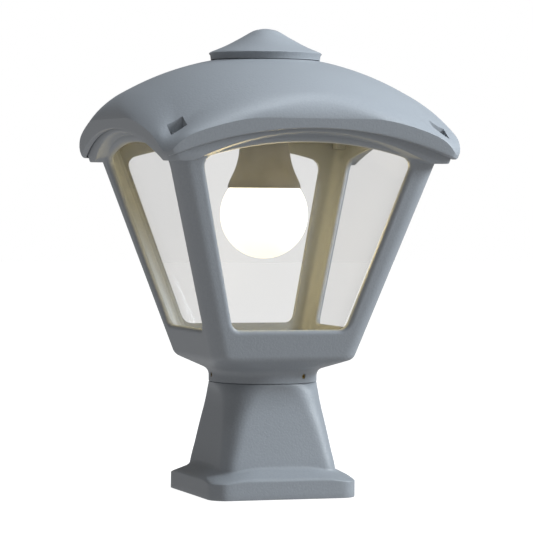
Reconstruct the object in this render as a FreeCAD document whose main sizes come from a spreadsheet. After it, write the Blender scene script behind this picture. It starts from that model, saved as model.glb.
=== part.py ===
import FreeCAD, Part
import math
import os
import Sketcher

from FreeCAD import Placement, Rotation, Vector

# Post top lantern on a short pedestal, in millimetres.
# Origin: centre of the pedestal's underside. +Z is up, the front window faces -Y.
# A leaning size is millimetres of widening for each millimetre of height.

doc = FreeCAD.newDocument("post_top_lantern")

sizes = {
    # pedestal
    "flange_half": 49.5,            # half width of the square foot
    "flange_corner": 7.0,
    "flange_edge": 11.5,            # height of the foot's upright band at its corners
    "flange_crown": 54.0,           # half width of the outline that arches the band's top edge
    "flange_cavity_height": 8.0,
    "neck_height": 20.0,            # where the foot's slope meets the column
    "neck_half": 40.5,
    "neck_corner": 26.0,
    "column_top": 76.0,
    "column_top_radius": 36.9,
    "column_foot_radius": 50.6,     # at neck height
    "face_top_half": 37.7,          # the column's flat faces at its top
    "face_foot_half": 40.0,
    "pedestal_wall": 3.6,
    "fixing_offset": 41.0,          # rear fixing holes, from the axis in X and Y
    "fixing_hole_radius": 2.6,
    "fixing_pocket_radius": 4.8,
    "fixing_floor": 5.0,
    "spigot_radius": 30.0,
    "spigot_wall": 4.5,
    "spigot_length": 24.0,
    "spigot_floor": 4.0,
    "entry_radius": 8.0,            # hole for the grommet in the pedestal's top
    "grommet_bore": 4.5,
    "grommet_lip": 2.5,
    # lantern frame
    "parting_gap": 0.25,
    "fit_gap": 0.08,                # radial clearance of the collar on the spigot
    "collar_radius": 36.9,
    "collar_height": 8.5,
    "collar_blend": 6.0,
    "knee_height": 93.0,
    "knee_half": 50.2,
    "knee_round": 8.0,
    "body_lean": 0.31,
    "body_corner": 10.0,
    "frame_wall": 4.8,
    "bowl_floor": 96.5,
    "sill_height": 113.5,
    "sill_half": 39.7,
    "window_lean": 0.29,
    "window_apex": 238.2,
    "window_arch": 247.0,
    "window_corner": 7.0,
    "window_edge_round": 3.2,
    "ear_height": 225.0,            # flat underside of the four ears
    "cornice_top": 251.0,
    "soffit_rise": 4.2,             # from the window's apex to the start of the soffit
    "soffit_arch": 215.0,
    "soffit_slope": 0.6,
    "seat_height": 236.0,           # top of the ears, under the roof's screw pockets
    "ledge_near": 42.0,
    "ledge_far": 62.0,
    "ledge_thick": 4.0,
    # clear diffuser
    "diffuser_gap": 3.0,            # between the frame's walls and the diffuser
    "diffuser_wall": 2.4,
    "diffuser_floor": 107.5,
    "diffuser_corner": 20.0,
    "rim_height": 241.0,
    "rim_half": 90.0,
    "rim_corner": 26.0,
    "rim_thick": 2.4,
    # gear tray and its gasket
    "gasket_thick": 2.4,
    "gasket_width": 3.2,
    "tray_thick": 2.6,
    "tray_post_offset": 46.0,
    "tray_post_radius": 5.0,
    "tray_screw_radius": 1.9,
    "tray_screw_head": 3.6,
    "tray_screw_head_height": 2.4,
    "tray_screw_length": 10.0,
    "tray_screw_depth": 9.0,        # of the blind holes in the roof's posts
    "tray_hole_gap": 0.2,
    # roof
    "dome_radius": 197.0,
    "dome_centre": 102.0,
    "roof_wall": 3.0,
    "rim_ref": 228.0,               # height at which roof_half is measured
    "roof_half": 102.5,
    "roof_lean": 0.3,
    "roof_corner": 9.0,
    "crease_side": 253.3,           # height of the crease over the rim band, mid side
    "crease_corner": 230.5,
    "rim_arch": 270.0,
    "rim_apex": 247.0,
    "rim_tip": 226.8,
    "dome_flat": 297.5,             # flat under the finial
    "roof_gap": 0.9,                # between the roof's inside and the frame
    "pocket_offset": 91.0,
    "pocket_half": 5.4,
    "pocket_wall": 2.0,
    "pocket_floor": 239.0,
    # finial
    "finial_radius": 38.6,
    "finial_foot_radius": 37.2,
    "finial_foot": 296.1,
    "finial_edge": 299.7,
    "finial_top": 316.5,
    "finial_wall": 2.6,
    "finial_shoulder_radius": 27.75,
    "finial_shoulder": 304.1,
    "finial_bend_radius": 17.5,
    "finial_bend": 309.5,
    "finial_tip_radius": 8.7,
    "finial_tip": 315.0,
    "finial_boss_radius": 6.0,
    "finial_screw_radius": 2.0,
    "finial_screw_reach": 8.0,      # of the screw into the cap's boss
    # screws
    "roof_screw_radius": 2.0,
    "roof_screw_head": 3.8,
    "roof_screw_head_height": 2.8,
    "roof_screw_length": 11.0,
    "washer_thick": 1.2,
    "washer_radius": 4.7,
    "slot_depth": 1.4,
    "slot_width": 0.9,
    "slot_reach": 0.62,             # share of the head's radius
    "insert_wall": 1.4,
    "insert_length": 7.5,
    "thread_gap": 0.08,
    "set_screw_radius": 2.5,
    "set_screw_height": 81.0,
    "set_screw_count": 3,
    "set_screw_tip_gap": 0.3,
    "set_screw_proud": 0.4,
    "set_screw_socket": 1.25,
    "set_screw_socket_depth": 2.8,
    "collar_insert_start": 31.0,
    # lampholder
    "holder_radius": 20.0,
    "holder_wall": 2.4,
    "holder_mouth": 240.5,
    "holder_shoulder_wall": 3.8,
    "holder_flange_radius": 24.5,
    "holder_flange_thick": 2.2,
    "holder_waist": 272.0,
    "holder_ring_radius": 25.0,
    "holder_ring_height": 4.0,
    "insert_seat": 262.0,           # shoulder that the ceramic insert stands on
    "insert_top": 274.5,
    "shell_wall": 0.5,
    "shell_low": 246.5,
    "contact_radius": 6.0,
    "contact_thick": 1.0,
    "contact_stem": 2.2,
    "contact_gap": 0.1,             # over the lamp's tip
    "stem_top": 276.5,
    "rivet_radius": 1.5,
    "rivet_x": 8.5,
    "rivet_y": -5.0,
    "holder_top": 289.0,
    "holder_top_radius": 12.0,
    # lamp
    "globe_radius": 30.0,
    "globe_centre": 190.0,
    "globe_wall": 1.2,
    "globe_cut": 208.0,
    "housing_wall": 1.7,
    "housing_radius": 25.0,
    "housing_edge_radius": 24.0,
    "housing_edge": 212.0,
    "housing_waist_radius": 19.2,
    "housing_waist": 224.0,
    "housing_neck_radius": 16.5,
    "housing_neck": 235.0,
    "housing_top_radius": 14.5,
    "board_radius": 22.8,
    "board_thick": 1.6,
    "chip_count": 8,
    "chip_radius": 1.8,
    "chip_ring": 14.0,
    "chip_height": 0.9,
    "cap_radius": 13.3,             # crest of the E27 thread
    "cap_wall": 0.5,
    "cap_low": 243.0,
    "cap_high": 264.0,
    "cap_thread_depth": 0.8,
    "cap_thread_pitch": 3.6,
    "tip_low": 268.0,
    "tip_high": 270.0,
    "tip_radius": 4.8,
    "tip_base_radius": 9.5,
    # wiring on the tray
    "block_x": 47.0,
    "block_width": 12.0,
    "block_length": 30.0,
    "block_height": 13.0,
    "block_wire_height": 5.6,       # of the wire holes over the tray
    "block_screw_radius": 1.9,
    "block_screw_spacing": 16.0,
    "block_screw_sink": 1.0,
    "lead_radius": 1.1,
    "lead_hole_gap": 0.3,
    "lead_bend": 3.5,
    "lead_top": 282.0,
    "small_screw_radius": 1.5,
    "small_screw_head": 2.8,
    "small_screw_head_height": 2.0,
    "block_seat": 5.0,              # under the block's fixing screw, over the tray
    "clamp_y": 58.0,
    "clamp_length": 24.0,
    "clamp_width": 9.0,
    "clamp_height": 6.5,
    "clamp_screw_spacing": 16.0,
    "grip_radius": 3.4,
    "screw_end": 1.5,               # small screws stand out under the tray
}

sheet = doc.addObject("Spreadsheet::Sheet", "sizes")
for row, (alias, value) in enumerate(sizes.items(), start=1):
    sheet.set("A%d" % row, alias)
    sheet.set("B%d" % row, str(value))
    sheet.setAlias("B%d" % row, alias)

shared = {
    "gasket_low": "rim_height + rim_thick",
    "tray_low": "gasket_low + gasket_thick",
    "tray_top": "tray_low + tray_thick",
    "insert_radius": "roof_screw_radius + insert_wall",
    "roof_hole": "roof_screw_radius + thread_gap",
    "roof_screw_seat": "pocket_floor + washer_thick",
    "finial_hole": "finial_screw_radius + thread_gap",
    "roof_inner_top": "dome_flat - roof_wall",
    "tray_hole": "tray_screw_radius + tray_hole_gap",
    "small_hole": "small_screw_radius + thread_gap",
    "shell_inner": "cap_radius + fit_gap",
    "shell_outer": "shell_inner + shell_wall",
    "holder_inner": "holder_radius - holder_wall",
    "contact_low": "tip_high + contact_gap",
    "contact_high": "contact_low + contact_thick",
    "clamp_top": "tray_top + clamp_height",
    "wire_height": "tray_top + block_wire_height",
    "wire_spread": "block_screw_spacing / 2",
}
for row, (alias, formula) in enumerate(shared.items(), start=len(sizes) + 1):
    sheet.set("A%d" % row, alias)
    sheet.set("B%d" % row, "=" + formula)
    sheet.setAlias("B%d" % row, alias)
doc.recompute()


def size(alias):
    return float(sheet.get(alias))


def in_sheet(expression):
    """Turn "a + b" of aliases into the same sum of the sheet's cells."""
    words = []
    for word in expression.replace("(", " ( ").replace(")", " ) ").split():
        words.append("sizes." + word if word in sizes or word in shared else word)
    return " ".join(words)


def worked_out(expression):
    """The value of an expression of aliases, for a first placing of sketch points."""
    probe = sheet.evalExpression(in_sheet(expression).replace("sizes.", ""))
    return float(getattr(probe, "Value", probe))


# ---------------------------------------------------------------- helpers

def plane_of(body, role):
    return [f for f in body.Origin.OriginFeatures if f.Role == role][0]


def new_body(label):
    body = doc.addObject("PartDesign::Body", label)
    body.Label = label
    body.AllowCompound = True
    return body


def bind(item, prop, expression):
    item.setExpression(prop, in_sheet(expression))


def polygon_sketch(body, name, role, outline):
    """A closed outline whose corners are held by the sheet's sizes."""
    sketch = body.newObject("Sketcher::SketchObject", name)
    sketch.AttachmentSupport = [(plane_of(body, role), "")]
    sketch.MapMode = "FlatFace"
    points = [Vector(worked_out(x), worked_out(y), 0) for x, y in outline]
    count = len(points)
    for i in range(count):
        sketch.addGeometry(Part.LineSegment(points[i], points[(i + 1) % count]), False)
    for i in range(count):
        sketch.addConstraint(Sketcher.Constraint("Coincident", i, 2, (i + 1) % count, 1))
    for i, (x, y) in enumerate(outline):
        for kind, expression, value in (("DistanceX", x, points[i].x), ("DistanceY", y, points[i].y)):
            index = sketch.addConstraint(Sketcher.Constraint(kind, -1, 1, i, 1, value))
            bind(sketch, "Constraints[%d]" % index, expression)
    return sketch


def turned(label, outline, at=("0", "0"), copies=None):
    """A piece of revolution about an upright axis through at, and copies of it about Z."""
    body = new_body(label)
    sketch = polygon_sketch(body, label + "_outline", "XZ_Plane", outline)
    bind(sketch, "AttachmentOffset.Base.x", at[0])
    bind(sketch, "AttachmentOffset.Base.z", "0 - (" + at[1] + ")")
    spin = body.newObject("PartDesign::Revolution", label + "_turn")
    spin.Profile = sketch
    spin.ReferenceAxis = (sketch, ["V_Axis"])
    spin.Angle = 360
    if copies:
        pattern = body.newObject("PartDesign::PolarPattern", label + "_ring")
        pattern.Originals = [spin]
        pattern.Axis = (plane_of(body, "Z_Axis"), [""])
        pattern.Angle = 360
        bind(pattern, "Occurrences", copies)
        body.Tip = pattern
    doc.recompute()
    return body


def upright_edges(shape):
    names = []
    for index, edge in enumerate(shape.Edges, start=1):
        low, high = edge.BoundBox.ZMin, edge.BoundBox.ZMax
        if abs(edge.Length - (high - low)) < 1e-6 and high - low > 1e-6:
            names.append("Edge%d" % index)
    return names


def rectangle(half_x, half_y, centre=("0", "0")):
    x, y = centre
    return [("%s - (%s)" % (x, half_x), "%s - (%s)" % (y, half_y)),
            ("%s + (%s)" % (x, half_x), "%s - (%s)" % (y, half_y)),
            ("%s + (%s)" % (x, half_x), "%s + (%s)" % (y, half_y)),
            ("%s - (%s)" % (x, half_x), "%s + (%s)" % (y, half_y))]


def padded(label, outline, base, height, corner=None):
    """An upright pad of an outline, its upright edges rounded."""
    body = new_body(label)
    sketch = polygon_sketch(body, label + "_outline", "XY_Plane", outline)
    bind(sketch, "AttachmentOffset.Base.z", base)
    pad = body.newObject("PartDesign::Pad", label + "_pad")
    pad.Profile = sketch
    bind(pad, "Length", height)
    doc.recompute()
    if corner:
        rounding = body.newObject("PartDesign::Fillet", label + "_corners")
        rounding.Base = (pad, upright_edges(pad.Shape))
        bind(rounding, "Radius", corner)
        doc.recompute()
    return body


def pocketed(body, name, outline, base, height):
    """Cut an upright pocket out of a body, upwards from base."""
    sketch = polygon_sketch(body, name + "_outline", "XY_Plane", outline)
    bind(sketch, "AttachmentOffset.Base.z", base)
    pocket = body.newObject("PartDesign::Pocket", name)
    pocket.Profile = sketch
    pocket.Reversed = True
    bind(pocket, "Length", height)
    before = body.Shape.Volume
    doc.recompute()
    assert body.Shape.Volume < before, name
    return pocket


def bored(body, name, at, radius, base, height):
    """Drill a round upright hole upwards from base."""
    sketch = body.newObject("Sketcher::SketchObject", name + "_circle")
    sketch.AttachmentSupport = [(plane_of(body, "XY_Plane"), "")]
    sketch.MapMode = "FlatFace"
    bind(sketch, "AttachmentOffset.Base.z", base)
    x, y = worked_out(at[0]), worked_out(at[1])
    sketch.addGeometry(Part.Circle(Vector(x, y, 0), Vector(0, 0, 1), worked_out(radius)), False)
    held = [Sketcher.Constraint("Radius", 0, worked_out(radius)),
            Sketcher.Constraint("DistanceX", -1, 1, 0, 3, x),
            Sketcher.Constraint("DistanceY", -1, 1, 0, 3, y)]
    for constraint, expression in zip(held, (radius, at[0], at[1])):
        bind(sketch, "Constraints[%d]" % sketch.addConstraint(constraint), expression)
    pocket = body.newObject("PartDesign::Pocket", name)
    pocket.Profile = sketch
    pocket.Reversed = True
    bind(pocket, "Length", height)
    before = body.Shape.Volume
    doc.recompute()
    assert body.Shape.Volume < before, name
    return pocket


def around(body, name, count="4"):
    """Repeat all that the body has so far about the upright axis."""
    made = [item for item in body.Group if item.isDerivedFrom("PartDesign::Feature")]
    pattern = body.newObject("PartDesign::PolarPattern", name)
    pattern.Originals = made
    pattern.Axis = (plane_of(body, "Z_Axis"), [""])
    pattern.Angle = 360
    bind(pattern, "Occurrences", count)
    body.Tip = pattern
    doc.recompute()
    return body


def ring_of_holes(body, hole, name, count="4"):
    """Repeat one hole of a body about the upright axis."""
    pattern = body.newObject("PartDesign::PolarPattern", name)
    pattern.Originals = [hole]
    pattern.Axis = (plane_of(body, "Z_Axis"), [""])
    pattern.Angle = 360
    bind(pattern, "Occurrences", count)
    body.Tip = pattern
    doc.recompute()
    return pattern


def screw(label, at, seat, length, radius, head, head_height, up=True, copies=None):
    """A screw with a crossed slot. Its head bears on seat, and its shank leads away from the head."""
    head_way, shank_way = ("+", "-") if up else ("-", "+")
    end = "%s %s (%s)" % (seat, shank_way, length)
    face = "%s %s %s" % (seat, head_way, head_height)
    body = turned(label, [("0", end), (radius, end), (radius, seat), (head, seat), (head, face), ("0", face)], at)
    slot_low = "%s - slot_depth" % face if up else face
    for name, half_x, half_y in (("slot", "slot_reach * %s" % head, "slot_width / 2"),
                                 ("cross", "slot_width / 2", "slot_reach * %s" % head)):
        pocketed(body, "%s_%s" % (label, name), rectangle(half_x, half_y, at), slot_low, "slot_depth")
    if copies:
        around(body, label + "_ring", copies)
    return body


def box_piece(name, x, y, z, length, width, height):
    """A box from its lowest corner."""
    item = doc.addObject("Part::Box", name)
    for prop, expression in zip(("Placement.Base.x", "Placement.Base.y", "Placement.Base.z",
                                 "Length", "Width", "Height"), (x, y, z, length, width, height)):
        bind(item, prop, expression)
    return item


def rod(name, x, y, z, radius, length, way="z"):
    """A cylinder from the middle of its first end, along x, y or z."""
    item = doc.addObject("Part::Cylinder", name)
    turns = {"x": Rotation(Vector(0, 1, 0), 90), "y": Rotation(Vector(1, 0, 0), -90), "z": Rotation()}
    item.Placement = Placement(Vector(), turns[way])
    for prop, expression in zip(("Placement.Base.x", "Placement.Base.y", "Placement.Base.z",
                                 "Radius", "Height"), (x, y, z, radius, length)):
        bind(item, prop, expression)
    return item


def carved(label, base, tools):
    """One piece less others."""
    tool = tools[0]
    if len(tools) > 1:
        tool = doc.addObject("Part::MultiFuse", label + "_tools")
        tool.Shapes = tools
    piece = doc.addObject("Part::Cut", label)
    piece.Base = base
    piece.Tool = tool
    doc.recompute()
    return piece


def solid_piece(label, shape):
    """A piece whose shape is worked out with Part's own functions."""
    piece = doc.addObject("Part::Feature", label)
    piece.Label = label
    piece.Shape = shape
    piece.Placement = Placement()
    return piece


def square_wire(half, corner, height):
    """A square with rounded corners, always as four lines and four arcs."""
    flat = half - corner
    bend = corner * math.sqrt(0.5)
    edges = []
    for turn in range(4):
        spin = Rotation(Vector(0, 0, 1), 90 * turn)
        start, end = Vector(half, -flat, height), Vector(half, flat, height)
        middle = Vector(flat + bend, flat + bend, height)
        stop = Vector(flat, half, height)
        edges.append(Part.LineSegment(spin.multVec(start), spin.multVec(end)).toShape())
        edges.append(Part.Arc(spin.multVec(end), spin.multVec(middle), spin.multVec(stop)).toShape())
    return Part.Wire(edges)


def leaning_block(half, corner, lean, at_height, low, high):
    """A square block that widens upwards, with corners of one radius."""
    ends = [square_wire(half + lean * (z - at_height), corner, z) for z in (low, high)]
    return Part.makeLoft(ends, True, True)


def four_ways(shape):
    """A shape and its three copies about the upright axis."""
    return [shape.rotated(Vector(0, 0, 0), Vector(0, 0, 1), 90 * turn) for turn in range(4)]


def box_at(x_low, x_high, y_low, y_high, z_low, z_high):
    return Part.makeBox(x_high - x_low, y_high - y_low, z_high - z_low, Vector(x_low, y_low, z_low))


# ---------------------------------------------------------------- pedestal

def pedestal_shape():
    neck, top = size("neck_height"), size("column_top")
    face_lean = (size("face_top_half") - size("face_foot_half")) / (top - neck)
    spread = (size("column_foot_radius") - size("column_top_radius")) / (top - neck)

    def column(inset, low, high):
        cone = Part.makeCone(size("column_top_radius") + spread * (top - low) - inset,
                             size("column_top_radius") + spread * (top - high) - inset,
                             high - low, Vector(0, 0, low))
        faces = leaning_block(size("face_top_half") - inset, 1.0, face_lean, top, low, high)
        return cone.common(faces)

    crown = Part.makeLoft([square_wire(size("flange_crown"), size("neck_corner"), size("flange_edge")),
                           square_wire(size("neck_half"), size("neck_corner"), neck)], True, True)
    crown_foot = Part.Face(square_wire(size("flange_crown"), size("neck_corner"), 0))
    crown = crown.fuse(crown_foot.extrude(Vector(0, 0, size("flange_edge"))))
    band = Part.Face(square_wire(size("flange_half"), size("flange_corner"), 0))
    flange = crown.common(band.extrude(Vector(0, 0, neck)))
    outside = flange.fuse(column(0, 0, top)).removeSplitter()

    wall = size("pedestal_wall")
    hollow = column(wall, -1, top - size("spigot_floor"))
    foot_hollow = Part.Face(square_wire(size("flange_half") - wall, size("flange_corner") - wall / 2, 0))
    foot_hollow = foot_hollow.extrude(Vector(0, 0, size("flange_cavity_height")))
    offset = size("fixing_offset")
    for side in (-1, 1):
        boss = Part.makeCylinder(size("fixing_pocket_radius") + wall / 2, neck, Vector(side * offset, offset, -1))
        foot_hollow = foot_hollow.cut(boss)
    spigot = Part.makeCylinder(size("spigot_radius"), size("spigot_length"), Vector(0, 0, top))
    bore = Part.makeCylinder(size("spigot_radius") - size("spigot_wall"), size("spigot_length"),
                             Vector(0, 0, top))
    entry = Part.makeCylinder(size("entry_radius"), top, Vector(0, 0, neck))
    shape = outside.cut(hollow).cut(foot_hollow).fuse(spigot).cut(bore).cut(entry)
    for side in (-1, 1):
        spot = Vector(side * offset, offset, size("fixing_floor"))
        shape = shape.cut(Part.makeCylinder(size("fixing_pocket_radius"), neck, spot))
        shape = shape.cut(Part.makeCylinder(size("fixing_hole_radius"), 2 * neck, Vector(spot.x, spot.y, -neck)))
    return shape.removeSplitter()


solid_piece("pedestal", pedestal_shape())

turned("cable_grommet", [
    ("grommet_bore", "column_top - spigot_floor - grommet_lip"),
    ("entry_radius + grommet_lip", "column_top - spigot_floor - grommet_lip"),
    ("entry_radius + grommet_lip", "column_top - spigot_floor"),
    ("entry_radius", "column_top - spigot_floor"),
    ("entry_radius", "column_top"),
    ("entry_radius + grommet_lip", "column_top"),
    ("entry_radius + grommet_lip", "column_top + grommet_lip"),
    ("grommet_bore", "column_top + grommet_lip")])


# ---------------------------------------------------------------- lantern frame

def body_half(height):
    """Half width of the frame's outer faces."""
    return size("knee_half") + size("body_lean") * (height - size("knee_height"))


def under_arch(apex, radius, half_width, low, depth):
    """A block along Y whose top is an arch and whose sides are upright."""
    drop = radius - math.sqrt(radius ** 2 - half_width ** 2)
    corners = [Vector(-half_width, -depth, low), Vector(half_width, -depth, low),
               Vector(half_width, -depth, apex - drop)]
    left = Vector(-half_width, -depth, apex - drop)
    edges = [Part.LineSegment(corners[0], corners[1]).toShape(),
             Part.LineSegment(corners[1], corners[2]).toShape(),
             Part.Arc(corners[2], Vector(0, -depth, apex), left).toShape(),
             Part.LineSegment(left, corners[0]).toShape()]
    return Part.Face(Part.Wire(edges))


def window_block():
    """The opening of two facing windows: leaning sides, arched head, rounded corners."""
    reach = 2 * body_half(size("cornice_top"))
    sill, apex, arch = size("sill_height"), size("window_apex"), size("window_arch")
    lean = size("window_lean")
    low_half = size("sill_half")
    head = sill
    for _ in range(20):                       # the side meets the arch
        half = low_half + lean * (head - sill)
        head = apex - arch + math.sqrt(arch ** 2 - half ** 2)
    corners = [Vector(-low_half, -reach, sill), Vector(low_half, -reach, sill), Vector(half, -reach, head)]
    left = Vector(-half, -reach, head)
    edges = [Part.LineSegment(corners[0], corners[1]).toShape(),
             Part.LineSegment(corners[1], corners[2]).toShape(),
             Part.Arc(corners[2], Vector(0, -reach, apex), left).toShape(),
             Part.LineSegment(left, corners[0]).toShape()]
    block = Part.Face(Part.Wire(edges)).extrude(Vector(0, 2 * reach, 0))
    along = [e for e in block.Edges if abs(e.Length - 2 * reach) < 1e-6]
    return block.makeFillet(size("window_corner"), along)


def rounded_outline(corners, radii):
    """Radius at a height, along a line of (radius, height) corners whose inner ones are rounded."""
    bends = []
    for before, corner, after, radius in zip(corners, corners[1:], corners[2:], radii):
        inward = Vector(before[0] - corner[0], before[1] - corner[1], 0)
        onward = Vector(after[0] - corner[0], after[1] - corner[1], 0)
        half_angle = inward.getAngle(onward) / 2
        reach = radius / math.tan(half_angle)
        tangents = [Vector(corner[0], corner[1], 0) + way.normalize() * reach for way in (inward, onward)]
        centre = Vector(corner[0], corner[1], 0) + (inward + onward).normalize() * (radius / math.sin(half_angle))
        bends.append((tangents[0].y, tangents[1].y, centre, radius, corner[0] > centre.x))

    def radius_at(height):
        for low, high, centre, radius, outward in bends:
            if low <= height <= high:
                swing = math.sqrt(max(radius ** 2 - (height - centre.y) ** 2, 0))
                return centre.x + swing if outward else centre.x - swing
        for (r_low, z_low), (r_high, z_high) in zip(corners, corners[1:]):
            if z_low <= height <= z_high:
                return r_low + (r_high - r_low) * (height - z_low) / (z_high - z_low)
        return corners[-1][0]

    return radius_at


def between(low, high, steps, power=1.0):
    """Heights above low and up to high; a power under 1 sets them closer together at the top."""
    return [low + (high - low) * (i / steps) ** power for i in range(1, steps + 1)]


def blended_loft(side_at, corner_at, heights, ruled=False):
    """A solid through rounded squares, given their reach at the sides and at the corners."""
    sections = []
    for height in heights:
        side, diagonal = side_at(height), corner_at(height)
        corner = (side * math.sqrt(2) - diagonal) / (math.sqrt(2) - 1)
        sections.append(square_wire(side, min(max(corner, 1.0), 0.995 * side), height))
    return Part.makeLoft(sections, True, ruled)


def diagonal(half, corner):
    """How far a rounded square reaches along its diagonal."""
    return (half - corner) * math.sqrt(2) + corner


def bowl_shape():
    """The frame's lower bowl: the collar, the sloping underside and the rounded knee."""
    radius, corner = size("collar_radius"), size("body_corner")
    low = size("column_top") + size("parting_gap")
    turn, knee = size("column_top") + size("collar_height"), size("knee_height")
    high = knee + size("knee_round")
    rounds = (size("collar_blend"), size("knee_round"))
    side_at = rounded_outline([(radius, low), (radius, turn), (body_half(knee), knee),
                               (body_half(high), high)], rounds)
    corner_at = rounded_outline([(radius, low), (radius, turn), (diagonal(body_half(knee), corner), knee),
                                 (diagonal(body_half(high), corner), high)], rounds)
    return blended_loft(side_at, corner_at, [low] + between(low, high, 18), True), high


def roll_radius(half, height, sphere):
    """Radius of the rolled edge that ends upright on the crease and runs into the dome."""
    rise = height - size("dome_centre")
    return (half ** 2 + rise ** 2 - sphere ** 2) / (2 * (half - sphere))


def roll_end(half, height, inset):
    """Height at which the rolled edge runs into the dome."""
    sphere, centre = size("dome_radius"), size("dome_centre")
    roll = roll_radius(half, height, sphere)
    return centre + (height - centre) * (sphere - inset) / (sphere - roll)


def dome_profile(half, height, inset):
    """Reach of the dome at a height: the sphere, its rolled edge, and a skirt that the sides trim."""
    sphere, centre = size("dome_radius"), size("dome_centre")
    roll = roll_radius(half, height, sphere)
    rolled, tangent = roll - inset, roll_end(half, height, inset)
    skirt_flare = 0.12

    def reach_at(z):
        if z <= height:
            return half - inset + skirt_flare * (height - z)
        if z <= tangent:
            return half - roll + math.sqrt(rolled ** 2 - (z - height) ** 2)
        return math.sqrt((sphere - inset) ** 2 - (z - centre) ** 2)

    return reach_at


def roof_core(inset):
    """The roof's outer form, or that form moved inwards by inset, in flat bands."""
    lean = size("roof_lean")
    side_z, corner_z = size("crease_side"), size("crease_corner")
    side_half, corner_half = roof_half_at(side_z), diagonal(roof_half_at(corner_z), size("roof_corner"))
    low, high = size("rim_tip") - 4, size("dome_flat") - inset
    bands = [low, corner_z]
    bands += between(corner_z, roll_end(corner_half, corner_z, inset), 4)
    bands += between(bands[-1], side_z, 2)
    bands += between(side_z, roll_end(side_half, side_z, inset), 5)
    bands += between(bands[-1], high, 6, 0.75)
    dome = blended_loft(dome_profile(side_half, side_z, inset), dome_profile(corner_half, corner_z, inset),
                        bands, True)
    sides = leaning_block(size("roof_half") - inset * math.hypot(1, lean), max(size("roof_corner") - inset, 1.0),
                          lean, size("rim_ref"), low - 5, high + 5)
    return dome.common(sides)


def roof_shape():
    outer = roof_core(0)
    inner = roof_core(size("roof_wall"))
    shape = outer.cut(inner)
    post = size("tray_post_offset")
    tray_top = size("tray_top")
    half = size("pocket_half")
    outer_half = half + size("pocket_wall")
    for spot in square_spots(size("pocket_offset")):
        boss = box_at(spot.x - outer_half, spot.x + outer_half, spot.y - outer_half, spot.y + outer_half,
                      size("seat_height") + size("parting_gap"), size("dome_flat"))
        shape = shape.fuse(boss.common(outer))
    for spot in square_spots(post):
        bar = Part.makeCylinder(size("tray_post_radius"), size("dome_flat") - tray_top,
                                Vector(spot.x, spot.y, tray_top))
        shape = shape.fuse(bar.common(outer))
    for spot in square_spots(size("pocket_offset")):
        shape = shape.cut(box_at(spot.x - half, spot.x + half, spot.y - half, spot.y + half,
                                 size("pocket_floor"), size("dome_flat")))
        shape = shape.cut(Part.makeCylinder(size("roof_hole"), size("dome_flat"), spot))
    for spot in square_spots(post):
        shape = shape.cut(Part.makeCylinder(size("tray_screw_radius") + size("thread_gap"),
                                            size("tray_screw_depth"), Vector(spot.x, spot.y, tray_top)))
    shape = shape.cut(Part.makeCylinder(size("finial_hole"), size("finial_top")))
    arch, apex = size("rim_arch"), size("rim_apex")
    reach = 1.3 * size("roof_half")
    under = under_arch(apex, arch, reach, 0, reach).extrude(Vector(0, 2 * reach, 0))
    for turn in (0, 90):
        shape = shape.cut(under.rotated(Vector(0, 0, 0), Vector(0, 0, 1), turn))
    low = size("rim_tip")
    shape = shape.cut(box_at(-reach, reach, -reach, reach, 0, low))
    return shape.removeSplitter()


def square_spots(offset):
    return [Vector(x * offset, y * offset, 0) for x in (-1, 1) for y in (-1, 1)]


def set_screw_angles():
    count = int(size("set_screw_count"))
    return [180 + 360 * i / count for i in range(count)]


def set_screw_bar(radius, length, angle, start=None):
    """A level bar that points away from the axis at the set screws' height."""
    start = size("spigot_radius") if start is None else start
    bar = Part.makeCylinder(radius, length, Vector(start, 0, size("set_screw_height")), Vector(1, 0, 0))
    return bar.rotated(Vector(0, 0, 0), Vector(0, 0, 1), angle)


def roof_half_at(height):
    """Half width of the roof's leaning sides."""
    return size("roof_half") + size("roof_lean") * (height - size("rim_ref"))


def cornice_shape(window):
    """The four ears and the arched soffits that join them under the roof's rim."""
    ear, top, gap = size("ear_height"), size("cornice_top"), size("roof_gap")
    inset = (size("roof_wall") + gap) * math.hypot(1, size("roof_lean"))
    outside = leaning_block(size("roof_half") - inset, size("roof_corner") - size("roof_wall"), size("roof_lean"),
                            size("rim_ref"), ear, top)
    body = leaning_block(size("knee_half") - 1.0, size("body_corner"), size("body_lean"), size("knee_height"),
                         ear - 1, top + 1)
    ring = outside.cut(body)
    ring = ring.common(roof_core(size("roof_wall") + gap))
    reach = 2 * body_half(top)
    start = body_half(ear) - 4.0
    rise = size("soffit_slope") * (reach - start)
    apex = size("window_apex") + size("soffit_rise") - size("soffit_slope") * (body_half(size("window_apex")) - start)
    arch = size("soffit_arch")
    soffit = under_arch(apex, arch, 0.55 * arch, ear - 60, start).extrude(Vector(0, start - reach, rise))
    for cut in four_ways(soffit):
        ring = ring.cut(cut)
    for turn in (0, 90):
        ring = ring.cut(window.rotated(Vector(0, 0, 0), Vector(0, 0, 1), turn))
    return ring


def ledges_shape():
    """Eight short ledges inside the frame's top that carry the diffuser's rim."""
    high = size("rim_height")
    low = high - size("ledge_thick")
    depth = size("frame_wall") + size("diffuser_gap") - 0.5
    blocks = []
    for side in (-1, 1):
        near, far = sorted((side * size("ledge_near"), side * size("ledge_far")))
        outer = body_half(low) - 1.0
        block = box_at(near, far, -outer, depth - body_half(high), low, high)
        blocks += four_ways(block)
    return blocks[0].fuse(blocks[1:])


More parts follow.
